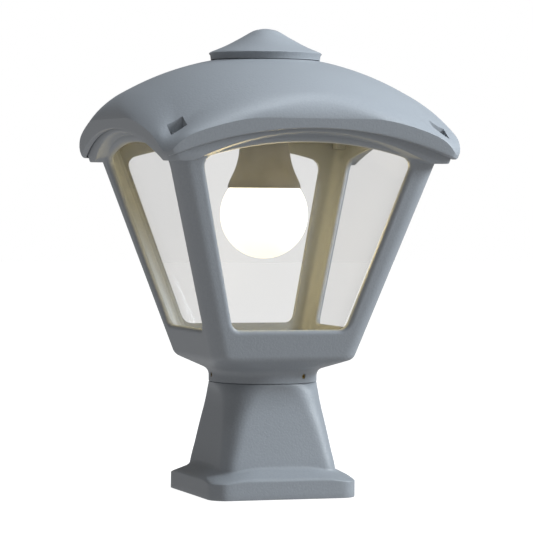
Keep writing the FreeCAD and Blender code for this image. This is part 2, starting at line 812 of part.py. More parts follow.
def frame_shape():
    knee, wall, top = size("knee_height"), size("frame_wall"), size("cornice_top")
    bowl, seam = bowl_shape()
    outer = leaning_block(size("knee_half"), size("body_corner"), size("body_lean"), knee, seam, top)
    floor = size("bowl_floor")
    inner = leaning_block(size("knee_half") - wall, size("body_corner") - wall / 2, size("body_lean"),
                          knee, floor, top + 1)
    shell = outer.cut(inner)
    window = window_block()
    for turn in (0, 90):
        shell = shell.cut(window.rotated(Vector(0, 0, 0), Vector(0, 0, 1), turn))
    rims = []
    for edge in shell.Edges:
        box = edge.BoundBox
        for turn in range(4):
            spin = Rotation(Vector(0, 0, 1), 90 * turn)
            spots = [spin.multVec(v.Point) for v in edge.Vertexes] + [spin.multVec(edge.CenterOfMass)]
            on_face = all(abs(spot.x - body_half(spot.z)) < 0.02 for spot in spots[:-1])
            inside = box.ZMin > seam + 1 and box.ZMax < top - 1
            if on_face and inside and abs(spots[-1].y) < body_half(spots[-1].z) - size("body_corner") - 1:
                rims.append(edge)
                break
    shell = shell.makeFillet(size("window_edge_round"), rims)
    reach = 2 * size("roof_half")
    over = box_at(-reach, reach, -reach, reach, size("seat_height"), top + 1)
    shell = shell.cut(over.cut(roof_core(size("roof_wall") + size("roof_gap"))))   # clear of the dome
    collar_bore = Part.makeCylinder(size("spigot_radius") + size("fit_gap"), floor, Vector(0, 0, 0))
    sleeve_top = size("column_top") + size("spigot_length") + size("parting_gap")
    sleeve = Part.makeCylinder(size("spigot_radius") + wall, sleeve_top - knee, Vector(0, 0, knee))
    collar_bore = collar_bore.fuse(Part.makeCylinder(size("spigot_radius") + size("fit_gap"), sleeve_top))
    shape = shell.fuse(bowl.cut(inner)).fuse(sleeve).cut(collar_bore)
    shape = shape.fuse(cornice_shape(window)).fuse(ledges_shape())
    for spot in square_spots(size("pocket_offset")):
        room = size("pocket_half") + size("pocket_wall") + size("roof_gap")
        shape = shape.cut(box_at(spot.x - room, spot.x + room, spot.y - room, spot.y + room,
                                 size("seat_height"), top + 1))
        shape = shape.cut(Part.makeCylinder(size("insert_radius"), size("insert_length"),
                                            Vector(spot.x, spot.y, size("seat_height") - size("insert_length"))))
    for angle in set_screw_angles():
        shape = shape.cut(set_screw_bar(size("insert_radius"), 2 * size("collar_radius"), angle))
    return shape.removeSplitter()


solid_piece("lantern_frame", frame_shape())


def along_set_screws(tube):
    """The level bars of the collar's screws or inserts, from (start, end, radius) steps to add and to cut."""
    bars = []
    for angle in set_screw_angles():
        bar = set_screw_bar(tube["radius"], tube["end"] - tube["start"], angle, tube["start"])
        hole = set_screw_bar(tube["hole"], tube["end"], angle, tube["hole_start"])
        bars.append(bar.cut(hole))
    return Part.makeCompound(bars)


collar_flush = math.sqrt(size("collar_radius") ** 2 - size("insert_radius") ** 2)
solid_piece("collar_inserts", along_set_screws({
    "radius": size("insert_radius"), "start": size("collar_insert_start"), "end": collar_flush,
    "hole": size("set_screw_radius") + size("thread_gap"), "hole_start": 0}))
set_screw_end = collar_flush + size("set_screw_proud")
solid_piece("set_screws", along_set_screws({
    "radius": size("set_screw_radius"), "start": size("spigot_radius") + size("set_screw_tip_gap"),
    "end": set_screw_end, "hole": size("set_screw_socket"),
    "hole_start": set_screw_end - size("set_screw_socket_depth")}))

turned("roof_screw_inserts", [
    ("roof_hole", "seat_height - insert_length"), ("insert_radius", "seat_height - insert_length"),
    ("insert_radius", "seat_height"), ("roof_hole", "seat_height")],
    ("pocket_offset", "pocket_offset"), "4")


# ---------------------------------------------------------------- clear diffuser

def diffuser_shape():
    """A clear cup inside the windows, whose rim lies on the frame's ledges."""
    floor, top = size("diffuser_floor"), size("gasket_low")
    foot = 4.0
    knee, lean = size("knee_height"), size("body_lean")

    def cup(inset, low):
        half = size("knee_half") - size("frame_wall") - size("diffuser_gap") - inset
        corner = size("diffuser_corner") - inset
        at_low = half + lean * (low - knee)
        lip = Part.makeLoft([square_wire(at_low - foot, corner - foot, low),
                             square_wire(at_low + lean * foot, corner, low + foot)], True, True)
        return lip.fuse(leaning_block(half, corner, lean, knee, low + foot, top))

    rim = Part.Face(square_wire(size("rim_half"), size("rim_corner"), size("rim_height")))
    rim = rim.extrude(Vector(0, 0, size("rim_thick")))
    wall = size("diffuser_wall")
    return cup(0, floor).fuse(rim).cut(cup(wall, floor + wall)).removeSplitter()


solid_piece("clear_diffuser", diffuser_shape())


# ---------------------------------------------------------------- roof, finial and their screws

solid_piece("roof_shell", roof_shape())

turned("finial_cap", [
    ("0", "finial_top"), ("finial_tip_radius", "finial_tip"), ("finial_bend_radius", "finial_bend"),
    ("finial_shoulder_radius", "finial_shoulder"), ("finial_radius", "finial_edge"),
    ("finial_foot_radius", "finial_foot"), ("finial_foot_radius - finial_wall", "finial_foot"),
    ("finial_foot_radius - finial_wall", "finial_edge - finial_wall / 2"),
    ("finial_shoulder_radius", "finial_shoulder - finial_wall"),
    ("finial_bend_radius", "finial_bend - finial_wall"), ("finial_boss_radius", "finial_tip - finial_wall"),
    ("finial_boss_radius", "dome_flat"), ("finial_hole", "dome_flat"),
    ("finial_hole", "dome_flat + finial_screw_reach + thread_gap"),
    ("0", "dome_flat + finial_screw_reach + thread_gap")])
turned("finial_washer", [
    ("finial_hole", "roof_inner_top - washer_thick"), ("washer_radius", "roof_inner_top - washer_thick"),
    ("washer_radius", "roof_inner_top"), ("finial_hole", "roof_inner_top")])
screw("finial_screw", ("0", "0"), "roof_inner_top - washer_thick",
      "washer_thick + roof_wall + finial_screw_reach", "finial_screw_radius", "roof_screw_head",
      "roof_screw_head_height", up=False)

corner = ("pocket_offset", "pocket_offset")
turned("screw_washers", [
    ("roof_hole", "pocket_floor"), ("washer_radius", "pocket_floor"),
    ("washer_radius", "roof_screw_seat"), ("roof_hole", "roof_screw_seat")], corner, "4")
screw("roof_screws", corner, "roof_screw_seat", "roof_screw_length", "roof_screw_radius", "roof_screw_head",
      "roof_screw_head_height", copies="4")


# ---------------------------------------------------------------- gear tray

def gasket_shape():
    width, low = size("gasket_width"), size("gasket_low")
    outline = Part.Face(square_wire(size("rim_half"), size("rim_corner"), low))
    middle = Part.Face(square_wire(size("rim_half") - width, size("rim_corner") - width, low))
    return outline.cut(middle).extrude(Vector(0, 0, size("gasket_thick")))


solid_piece("tray_gasket", gasket_shape())

tray = padded("gear_tray", rectangle("rim_half", "rim_half"), "tray_low", "tray_thick", "rim_corner")
post = ("tray_post_offset", "tray_post_offset")
tray_hole = bored(tray, "tray_post_hole", post, "tray_hole", "tray_low", "tray_thick")
ring_of_holes(tray, tray_hole, "tray_post_holes")
bored(tray, "tray_holder_hole", ("0", "0"), "holder_radius + tray_hole_gap", "tray_low", "tray_thick")
bored(tray, "tray_block_hole", ("block_x", "0"), "small_hole", "tray_low", "tray_thick")
for side, name in (("-", "left"), ("+", "right")):
    bored(tray, "tray_clamp_hole_" + name, ("0 %s clamp_screw_spacing / 2" % side, "clamp_y"),
          "small_hole", "tray_low", "tray_thick")
screw("tray_screws", post, "tray_low", "tray_screw_length", "tray_screw_radius", "tray_screw_head",
      "tray_screw_head_height", up=False, copies="4")


# ---------------------------------------------------------------- lampholder

turned("lampholder_shell", [
    ("holder_radius - holder_shoulder_wall", "holder_mouth"), ("holder_radius", "holder_mouth"),
    ("holder_radius", "tray_top"), ("holder_flange_radius", "tray_top"),
    ("holder_flange_radius", "tray_top + holder_flange_thick"), ("holder_radius", "tray_top + holder_flange_thick"),
    ("holder_radius", "holder_waist"), ("holder_inner", "holder_waist"), ("holder_inner", "insert_seat"),
    ("holder_radius - holder_shoulder_wall", "insert_seat")])
turned("lampholder_ring", [
    ("holder_radius + fit_gap", "tray_low - holder_ring_height"),
    ("holder_ring_radius", "tray_low - holder_ring_height"),
    ("holder_ring_radius", "tray_low"), ("holder_radius + fit_gap", "tray_low")])
insert = turned("lampholder_insert", [
    ("shell_outer", "insert_seat"), ("holder_inner", "insert_seat"), ("holder_inner", "holder_waist"),
    ("holder_radius", "holder_waist"), ("holder_radius", "insert_top"), ("contact_stem", "insert_top"),
    ("contact_stem", "contact_high"), ("shell_outer", "contact_high")])
bored(insert, "insert_rivet_hole", ("rivet_x", "rivet_y"), "rivet_radius", "contact_high",
      "insert_top - contact_high")
turned("screw_shell", [
    ("shell_inner", "shell_low"), ("shell_outer", "shell_low"), ("shell_outer", "contact_high"),
    ("rivet_x - rivet_radius", "contact_high"), ("rivet_x - rivet_radius", "contact_high - shell_wall"),
    ("shell_inner", "contact_high - shell_wall")])
turned("centre_contact", [
    ("0", "contact_low"), ("contact_radius", "contact_low"), ("contact_radius", "contact_high"),
    ("contact_stem", "contact_high"), ("contact_stem", "stem_top"), ("0", "stem_top")])
turned("shell_rivet", [
    ("0", "contact_high"), ("rivet_radius", "contact_high"), ("rivet_radius", "stem_top"), ("0", "stem_top")],
    ("rivet_x", "rivet_y"))


# ---------------------------------------------------------------- wiring

def rounded_path(points, radius):
    """Straight runs joined by arcs."""
    edges, start = [], points[0]
    for before, corner, after in zip(points, points[1:], points[2:]):
        back, onward = (before - corner).normalize(), (after - corner).normalize()
        half_angle = back.getAngle(onward) / 2
        reach = radius / math.tan(half_angle)
        middle = corner + (back + onward).normalize() * (radius / math.sin(half_angle) - radius)
        enter, leave = corner + back * reach, corner + onward * reach
        edges += [Part.LineSegment(start, enter).toShape(), Part.Arc(enter, middle, leave).toShape()]
        start = leave
    edges.append(Part.LineSegment(start, points[-1]).toShape())
    return Part.Wire(edges)


def lead_path(side, end):
    """A lead's middle line, from the terminal block over the tray to the lampholder's top."""
    start = size("block_x") + size("block_width") / 4
    face = size("block_x") - size("block_width") / 2
    spread, low = side * size("wire_spread"), size("wire_height")
    beside = size("holder_flange_radius") + 1.5
    points = [Vector(start, spread, low), Vector(face - size("lead_bend") - 2, spread, low),
              Vector(beside, 0.75 * spread, size("lead_top")), Vector(end.x, end.y, size("lead_top")), end]
    return rounded_path(points, size("lead_bend"))


def lead_shape(path, radius):
    section = Part.Wire(Part.makeCircle(radius, path.Vertexes[0].Point, Vector(-1, 0, 0)))
    return path.makePipeShell([section], True, True)


leads = {"lead_live": lead_path(1, Vector(0, 0, size("stem_top"))),
         "lead_neutral": lead_path(-1, Vector(size("rivet_x"), size("rivet_y"), size("stem_top")))}
for label, path in leads.items():
    solid_piece(label, lead_shape(path, size("lead_radius")))

turned("holder_cap_solid", [
    ("holder_inner", "insert_top"), ("holder_radius", "insert_top"), ("holder_radius", "insert_top + holder_wall"),
    ("holder_top_radius", "holder_top"), ("0", "holder_top"), ("0", "holder_top - holder_wall"),
    ("holder_top_radius - holder_wall / 2", "holder_top - holder_wall"),
    ("holder_inner", "insert_top + holder_wall")])
cap = doc.getObject("holder_cap_solid").Shape
for path in leads.values():
    cap = cap.cut(lead_shape(path, size("lead_radius") + size("lead_hole_gap")))
solid_piece("lampholder_cap", cap)

block = box_piece("block_blank", "block_x - block_width / 2", "0 - block_length / 2", "tray_top",
                  "block_width", "block_length", "block_height")
cuts = [rod("block_fixing", "block_x", "0", "tray_top", "small_hole", "block_height"),
        rod("block_recess", "block_x", "0", "tray_top + block_seat", "small_screw_head + thread_gap", "block_height")]
for side in ("-", "+"):
    y = "0 %s wire_spread" % side
    name = "left" if side == "-" else "right"
    cuts.append(rod("block_wire_" + name, "block_x - block_width", y, "wire_height", "lead_radius",
                    "block_width * 2", "x"))
    cuts.append(rod("block_thread_" + name, "block_x", y, "wire_height", "block_screw_radius", "block_height"))
carved("terminal_block", block, cuts)
for side, name in (("-", "left"), ("+", "right")):
    at = ("block_x", "0 %s wire_spread" % side)
    pin = turned("terminal_screw_" + name, [
        ("0", "wire_height + lead_radius"), ("block_screw_radius - thread_gap", "wire_height + lead_radius"),
        ("block_screw_radius - thread_gap", "tray_top + block_height - block_screw_sink"),
        ("0", "tray_top + block_height - block_screw_sink")], at)
    pocketed(pin, "terminal_slot_" + name, rectangle("block_screw_radius * slot_reach", "slot_width / 2", at),
             "tray_top + block_height - block_screw_sink - slot_depth", "slot_depth")
screw("block_screw", ("block_x", "0"), "tray_top + block_seat", "block_seat + tray_thick + screw_end",
      "small_screw_radius", "small_screw_head", "small_screw_head_height")

saddle = box_piece("clamp_blank", "0 - clamp_length / 2", "clamp_y - clamp_width / 2", "tray_top",
                   "clamp_length", "clamp_width", "clamp_height")
cuts = [rod("clamp_grip", "0", "clamp_y - clamp_width", "tray_top", "grip_radius", "clamp_width * 2", "y")]
for side, name in (("-", "left"), ("+", "right")):
    x = "0 %s clamp_screw_spacing / 2" % side
    cuts.append(rod("clamp_hole_" + name, x, "clamp_y", "tray_top", "small_hole", "clamp_height"))
    screw("clamp_screw_" + name, (x, "clamp_y"), "clamp_top", "clamp_height + tray_thick + screw_end",
          "small_screw_radius", "small_screw_head", "small_screw_head_height")
carved("cord_clamp", saddle, cuts)


# ---------------------------------------------------------------- lamp

ball = doc.addObject("Part::Sphere", "globe_ball")
void = doc.addObject("Part::Sphere", "globe_void")
for item, radius in ((ball, "globe_radius"), (void, "globe_radius - globe_wall")):
    bind(item, "Radius", radius)
    bind(item, "Placement.Base.z", "globe_centre")
lid = box_piece("globe_lid", "0 - globe_radius", "0 - globe_radius", "globe_cut",
                "globe_radius * 2", "globe_radius * 2", "globe_radius * 2")
carved("bulb_globe", ball, [void, lid])

turned("bulb_housing", [
    ("board_radius", "globe_cut"), ("housing_radius", "globe_cut"), ("housing_edge_radius", "housing_edge"),
    ("housing_waist_radius", "housing_waist"), ("housing_neck_radius", "housing_neck"),
    ("housing_top_radius", "cap_low"), ("housing_top_radius - housing_wall", "cap_low"),
    ("housing_neck_radius - housing_wall", "housing_neck"), ("housing_waist_radius - housing_wall", "housing_waist"),
    ("housing_edge_radius - housing_wall * 2", "housing_edge"),
    ("housing_edge_radius - housing_wall * 2", "globe_cut + board_thick"),
    ("board_radius", "globe_cut + board_thick")])
turned("led_board", [
    ("0", "globe_cut"), ("board_radius", "globe_cut"), ("board_radius", "globe_cut + board_thick"),
    ("0", "globe_cut + board_thick")])
turned("led_chips", [
    ("0", "globe_cut - chip_height"), ("chip_radius", "globe_cut - chip_height"), ("chip_radius", "globe_cut"),
    ("0", "globe_cut")], ("chip_ring", "0"), "chip_count")

thread = []
turns = int((size("cap_high") - size("cap_low")) / size("cap_thread_pitch"))
for turn in range(turns):
    foot = "cap_low + %d * cap_thread_pitch" % turn
    thread += [("cap_radius - cap_thread_depth", foot), ("cap_radius", foot + " + cap_thread_pitch * 0.25"),
               ("cap_radius", foot + " + cap_thread_pitch * 0.5"),
               ("cap_radius - cap_thread_depth", foot + " + cap_thread_pitch * 0.75")]
turned("bulb_screw_cap", thread + [
    ("cap_radius - cap_thread_depth", "cap_high"),
    ("cap_radius - cap_thread_depth - cap_wall", "cap_high"),
    ("cap_radius - cap_thread_depth - cap_wall", "cap_low")])
turned("bulb_tip_insulator", [
    ("0", "cap_high - cap_wall * 2"), ("cap_radius - cap_thread_depth - cap_wall", "cap_high - cap_wall * 2"),
    ("cap_radius - cap_thread_depth - cap_wall", "cap_high"), ("tip_base_radius", "tip_low"), ("0", "tip_low")])
turned("bulb_tip_contact", [
    ("0", "tip_low"), ("tip_radius", "tip_low"), ("tip_radius", "tip_high"), ("0", "tip_high")])


# ---------------------------------------------------------------- checks and export

pieces = [
    "pedestal", "cable_grommet",
    "lantern_frame", "clear_diffuser", "collar_inserts", "set_screws", "roof_screw_inserts",
    "roof_shell", "finial_cap", "finial_washer", "finial_screw", "screw_washers", "roof_screws",
    "gear_tray", "tray_gasket", "tray_screws",
    "lampholder_shell", "lampholder_ring", "lampholder_insert", "lampholder_cap", "screw_shell",
    "centre_contact", "shell_rivet", "lead_live", "lead_neutral",
    "terminal_block", "terminal_screw_left", "terminal_screw_right", "block_screw",
    "cord_clamp", "clamp_screw_left", "clamp_screw_right",
    "bulb_globe", "bulb_housing", "led_board", "led_chips", "bulb_screw_cap", "bulb_tip_insulator",
    "bulb_tip_contact",
]
doc.recompute()
for item in doc.Objects:
    faults = [state for state in item.State if state in ("Invalid", "Error")]
    if faults:
        raise RuntimeError("%s: %s" % (item.Label, faults))
for label in pieces:
    shape = doc.getObject(label).Shape
    if shape.isNull() or not shape.isValid() or not shape.Solids:
        raise RuntimeError("no sound shape: " + label)
os.makedirs("parts", exist_ok=True)
for label in pieces:
    doc.getObject(label).Shape.exportStep("parts/%s.step" % label)
print("%d pieces" % len(pieces))
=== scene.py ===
import math

import bpy
from mathutils import Matrix, Vector


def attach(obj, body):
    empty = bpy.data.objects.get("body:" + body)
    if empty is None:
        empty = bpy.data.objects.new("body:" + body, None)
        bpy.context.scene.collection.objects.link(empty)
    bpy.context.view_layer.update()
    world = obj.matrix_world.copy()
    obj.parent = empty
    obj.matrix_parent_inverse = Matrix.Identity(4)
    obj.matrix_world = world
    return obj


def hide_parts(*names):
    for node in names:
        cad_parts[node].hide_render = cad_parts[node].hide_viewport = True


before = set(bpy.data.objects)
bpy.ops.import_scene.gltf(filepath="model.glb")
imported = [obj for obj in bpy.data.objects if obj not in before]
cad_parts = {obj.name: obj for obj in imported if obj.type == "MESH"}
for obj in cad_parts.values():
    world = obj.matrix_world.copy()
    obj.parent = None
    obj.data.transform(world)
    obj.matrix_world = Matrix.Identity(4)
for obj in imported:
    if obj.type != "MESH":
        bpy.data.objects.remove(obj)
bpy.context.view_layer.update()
print("frame loaded, nodes:", len(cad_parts))

# Sizes in the dictionaries are millimetres, z is height over the foot, and turn is the angle about Z.
# A lean is millimetres of widening for each millimetre of height.
mm = 0.001
quarter = math.pi / 2


# ways of working

def deselectAll():
    if bpy.context.mode != "OBJECT":
        bpy.ops.object.mode_set(mode="OBJECT")
    bpy.ops.object.select_all(action="DESELECT")


def takeUp(piece):
    deselectAll()
    piece.select_set(True)
    bpy.context.view_layer.objects.active = piece


def layGrid(rows):
    # a grid primitive whose vertices go to the rows' places, one row of points after another
    deselectAll()
    across, along = len(rows[0]) - 1, len(rows) - 1
    bpy.ops.mesh.primitive_grid_add(x_subdivisions=across, y_subdivisions=along, size=2)
    piece = bpy.context.object
    for vertex in piece.data.vertices:
        column = round((vertex.co.x + 1) / 2 * across)
        row = round((vertex.co.y + 1) / 2 * along)
        vertex.co = Vector(rows[row][column]) * mm
    return piece


weld = 0.004       # points nearer than this become one
tidyWeld = 0.001   # the same once a piece has been carved


def joinPieces(parts, mergeAt=weld):
    # parts become one mesh, with shared edges welded and faces turned outwards
    takeUp(parts[0])
    for part in parts[1:]:
        part.select_set(True)
    if len(parts) > 1:
        bpy.ops.object.join()
    bpy.ops.object.mode_set(mode="EDIT")
    bpy.ops.mesh.select_all(action="SELECT")
    bpy.ops.mesh.remove_doubles(threshold=mergeAt * mm)
    bpy.ops.mesh.dissolve_degenerate(threshold=tidyWeld * mm)
    bpy.ops.mesh.select_all(action="SELECT")
    bpy.ops.mesh.normals_make_consistent(inside=False)
    bpy.ops.object.mode_set(mode="OBJECT")
    return bpy.context.object


def turned(profile, steps):
    # a profile of (radius, height) turned about the upright axis
    rows = [[(radius * math.cos(2 * math.pi * i / steps), radius * math.sin(2 * math.pi * i / steps), z)
             for i in range(steps + 1)] for radius, z in profile]
    return joinPieces([layGrid(rows)])


def addBlock(low, high):
    deselectAll()
    bpy.ops.mesh.primitive_cube_add(size=1)
    block = bpy.context.object
    for vertex in block.data.vertices:
        vertex.co = [(a if c < 0 else b) * mm for c, a, b in zip(vertex.co, low, high)]
    return block


def addRod(x, y, low, high, radius, steps=48):
    deselectAll()
    bpy.ops.mesh.primitive_cylinder_add(vertices=steps, radius=radius * mm, depth=(high - low) * mm,
                                        location=(x * mm, y * mm, (low + high) / 2 * mm))
    bpy.ops.object.transform_apply(location=True, rotation=True, scale=True)
    return bpy.context.object


def carve(piece, tools, kind="DIFFERENCE"):
    for tool in tools:
        takeUp(piece)
        cut = piece.modifiers.new("carve", "BOOLEAN")
        cut.operation, cut.solver, cut.object = kind, "EXACT", tool
        bpy.ops.object.modifier_apply(modifier=cut.name)
        bpy.data.objects.remove(tool)
    return piece


def breakEdges(piece, width, angle=50, segments=3):
    takeUp(piece)
    bevel = piece.modifiers.new("edges", "BEVEL")
    bevel.width, bevel.segments, bevel.limit_method = width * mm, segments, "ANGLE"
    bevel.angle_limit = math.radians(angle)
    bevel.use_clamp_overlap = False
    bpy.ops.object.modifier_apply(modifier=bevel.name)
    return piece


def finishPiece(piece, name, body, material, nodes, angle):
    piece.name = piece.data.name = name
    takeUp(piece)
    bpy.ops.object.transform_apply(location=True, rotation=True, scale=True)
    bpy.ops.object.shade_smooth_by_angle(angle=math.radians(angle))
    piece.data.materials.clear()
    piece.data.materials.append(material)
    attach(piece, body)
    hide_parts(*nodes)
    print("made", name, len(piece.data.polygons), "faces")
    return piece


# rounded squares and lines

def smallerOf(a, b, blend):
    # the lesser of two values, rounded off where they cross
    h = max(blend - abs(a - b), 0) / blend
    return min(a, b) - h * h * blend / 4


def steps(low, high, count):
    # evenly spaced values, both ends included
    return [low + (high - low) * (i / count) for i in range(count + 1)]


def squareReach(turn, half, corner):
    # how far a rounded square reaches from its middle at an angle
    off = abs((turn + quarter / 2) % quarter - quarter / 2)
    c, s = math.cos(off), math.sin(off)
    flat = half - corner
    if half * s / c <= flat:
        return half / c
    along = flat * (c + s)
    return along + math.sqrt(max(along ** 2 - 2 * flat ** 2 + corner ** 2, 0))


def diagonalReach(half, corner):
    # the same towards a corner
    return (half - corner) * math.sqrt(2) + corner


def cornerFrom(side, diagonal):
    # the corner radius that gives both reaches
    return min(max((side * math.sqrt(2) - diagonal) / (math.sqrt(2) - 1), 0.5), 0.9995 * side)


def sideTurns(steps):
    # angles all round, closer together at the corners
    turns = []
    for side in range(4):
        for i in range(steps):
            turns.append(side * quarter + quarter / 2 * math.sin(quarter * (2 * i / steps - 1)))
    return turns + [turns[0] + 4 * quarter]


def spot(turn, reach, z):
    return (reach * math.cos(turn), reach * math.sin(turn), z)


def findHeight(low, high, test):
    # the height at which test turns from true to false
    for _ in range(40):
        middle = (low + high) / 2
        if test(middle):
            low = middle
        else:
            high = middle
    return (low + high) / 2


# finishes

def newMaterial(name, color, roughness):
    material = bpy.data.materials.new(name)
    material.use_nodes = True
    shader = material.node_tree.nodes["Principled BSDF"]
    shader.inputs["Base Color"].default_value = (*color, 1)
    shader.inputs["Roughness"].default_value = roughness
    return material


def surfaceNoise(tree, scale, detail):
    # a pattern that sits still on the piece
    place = tree.nodes.new("ShaderNodeTexCoord")
    noise = tree.nodes.new("ShaderNodeTexNoise")
    noise.inputs["Scale"].default_value = scale
    noise.inputs["Detail"].default_value = detail
    tree.links.new(place.outputs["Object"], noise.inputs["Vector"])
    return noise


def addMottle(material, dark, light, scale, gloss=None):
    # a soft change of colour over the surface, and of roughness where gloss gives its two ends
    tree = material.node_tree
    shader = tree.nodes["Principled BSDF"]
    noise = surfaceNoise(tree, scale, 4.0)
    ramp = tree.nodes.new("ShaderNodeValToRGB")
    first, last = ramp.color_ramp.elements
    first.position, last.position = 0.35, 0.65
    first.color, last.color = (*dark, 1), (*light, 1)
    tree.links.new(noise.outputs["Fac"], ramp.inputs["Fac"])
    tree.links.new(ramp.outputs["Color"], shader.inputs["Base Color"])
    if gloss:
        spread = tree.nodes.new("ShaderNodeMapRange")
        spread.inputs["To Min"].default_value, spread.inputs["To Max"].default_value = gloss
        tree.links.new(noise.outputs["Fac"], spread.inputs["Value"])
        tree.links.new(spread.outputs["Result"], shader.inputs["Roughness"])


def addGrain(material, scale, strength, depth):
    # fine bumps of a moulded or machined surface
    tree = material.node_tree
    noise = surfaceNoise(tree, scale, 3.0)
    bump = tree.nodes.new("ShaderNodeBump")
    bump.inputs["Strength"].default_value = strength
    bump.inputs["Distance"].default_value = depth * mm
    tree.links.new(noise.outputs["Fac"], bump.inputs["Height"])
    tree.links.new(bump.outputs["Normal"], tree.nodes["Principled BSDF"].inputs["Normal"])


# Mottle is the scale of the change from dark to light, gloss the roughness at its two ends, and grain is
# the scale, strength and depth of the fine bumps.
finishes = {
    "silverResin": {"color": (0.268, 0.287, 0.312), "rough": 0.45, "dark": (0.268, 0.287, 0.312),
                    "light": (0.284, 0.304, 0.33), "mottle": 700, "gloss": (0.38, 0.52),
                    "grain": (750, 0.8, 0.2), "specular": 0.45},
    "clearPlastic": {"color": (0.05, 0.05, 0.045), "rough": 0.04, "dark": (0.045, 0.045, 0.04),
                     "light": (0.055, 0.055, 0.05), "mottle": 30, "grain": (60, 0.05, 0.05),
                     "alpha": 0.07, "edgeAlpha": 0.32, "edgeBlend": 0.12},
    "opalPlastic": {"color": (0.95, 0.94, 0.9), "rough": 0.35, "dark": (0.93, 0.92, 0.88),
                    "light": (0.97, 0.96, 0.92), "mottle": 90, "gloss": (0.3, 0.42),
                    "grain": (900, 0.1, 0.02), "middle": (1.0, 0.97, 0.86), "low": (1.0, 0.9, 0.66),
                    "lowHeight": 160.0, "midHeight": 196.0, "power": 1.2},
    "turnedBrass": {"color": (0.62, 0.43, 0.16), "rough": 0.3, "metal": 1.0, "dark": (0.5, 0.33, 0.11),
                    "light": (0.68, 0.49, 0.2), "mottle": 260, "gloss": (0.22, 0.42),
                    "grain": (1800, 0.3, 0.03)},
    "agedBrass": {"color": (0.3, 0.21, 0.08), "rough": 0.45, "metal": 1.0, "dark": (0.24, 0.165, 0.06),
                  "light": (0.36, 0.26, 0.1), "mottle": 500, "gloss": (0.36, 0.55),
                  "grain": (1800, 0.25, 0.02)},
    "zincPlate": {"color": (0.6, 0.61, 0.62), "rough": 0.3, "metal": 1.0, "dark": (0.5, 0.51, 0.52),
                  "light": (0.66, 0.67, 0.67), "mottle": 300, "gloss": (0.22, 0.4),
                  "grain": (2200, 0.25, 0.02)},
    "platedShell": {"color": (0.72, 0.72, 0.7), "rough": 0.22, "metal": 1.0, "dark": (0.6, 0.6, 0.58),
                    "light": (0.78, 0.78, 0.76), "mottle": 200, "gloss": (0.16, 0.34),
                    "grain": (1600, 0.15, 0.01)},
    "trayPlastic": {"color": (0.78, 0.78, 0.75), "rough": 0.5, "dark": (0.72, 0.72, 0.69),
                    "light": (0.8, 0.8, 0.77), "mottle": 22, "gloss": (0.45, 0.58),
                    "grain": (1100, 0.2, 0.04)},
    "holderPlastic": {"color": (0.025, 0.025, 0.027), "rough": 0.34, "dark": (0.02, 0.02, 0.022),
                      "light": (0.034, 0.034, 0.036), "mottle": 60, "gloss": (0.28, 0.42),
                      "grain": (1300, 0.2, 0.03)},
    "porcelain": {"color": (0.82, 0.81, 0.77), "rough": 0.18, "dark": (0.78, 0.77, 0.73),
                  "light": (0.85, 0.84, 0.8), "mottle": 70, "gloss": (0.14, 0.26),
                  "grain": (900, 0.1, 0.02)},
    "blackRubber": {"color": (0.02, 0.02, 0.02), "rough": 0.75, "dark": (0.015, 0.015, 0.015),
                    "light": (0.03, 0.03, 0.03), "mottle": 120, "gloss": (0.65, 0.85),
                    "grain": (1500, 0.35, 0.05)},
    "housingPlastic": {"color": (0.4, 0.385, 0.33), "rough": 0.42, "dark": (0.37, 0.355, 0.3),
                       "light": (0.43, 0.41, 0.36), "mottle": 60, "gloss": (0.38, 0.5),
                       "grain": (1300, 0.15, 0.03)},
    "boardWhite": {"color": (0.8, 0.8, 0.78), "rough": 0.4, "dark": (0.76, 0.76, 0.74),
                   "light": (0.82, 0.82, 0.8), "mottle": 150, "grain": (1500, 0.15, 0.02)},
    "phosphor": {"color": (0.85, 0.6, 0.1), "rough": 0.35, "dark": (0.8, 0.55, 0.08),
                 "light": (0.9, 0.66, 0.14), "mottle": 900, "grain": (2500, 0.2, 0.02),
                 "glow": (1.0, 0.85, 0.5), "power": 3.0},
    "darkGlass": {"color": (0.015, 0.015, 0.02), "rough": 0.12, "dark": (0.012, 0.012, 0.016),
                  "light": (0.022, 0.022, 0.028), "mottle": 300, "gloss": (0.08, 0.2),
                  "grain": (1200, 0.1, 0.01)},
    "brownWire": {"color": (0.1, 0.04, 0.02), "rough": 0.4, "dark": (0.085, 0.033, 0.016),
                  "light": (0.12, 0.05, 0.025), "mottle": 240, "gloss": (0.34, 0.5),
                  "grain": (1600, 0.2, 0.02)},
    "blueWire": {"color": (0.02, 0.07, 0.28), "rough": 0.4, "dark": (0.016, 0.058, 0.24),
                 "light": (0.026, 0.085, 0.33), "mottle": 240, "gloss": (0.34, 0.5),
                 "grain": (1600, 0.2, 0.02)},
}


def mixFinish(name):
    facts = finishes[name]
    material = newMaterial(name, facts["color"], facts["rough"])
    shader = material.node_tree.nodes["Principled BSDF"]
    shader.inputs["Metallic"].default_value = facts.get("metal", 0.0)
    addMottle(material, facts["dark"], facts["light"], facts["mottle"], facts.get("gloss"))
    addGrain(material, *facts["grain"])
    if "specular" in facts:
        shader.inputs["Specular IOR Level"].default_value = facts["specular"]
    if "glow" in facts:
        shader.inputs["Emission Color"].default_value = (*facts["glow"], 1)
    if "power" in facts:
        shader.inputs["Emission Strength"].default_value = facts["power"]
    return material


mixed = {name: mixFinish(name) for name in finishes}
resin, clearPlastic, opal = mixed["silverResin"], mixed["clearPlastic"], mixed["opalPlastic"]

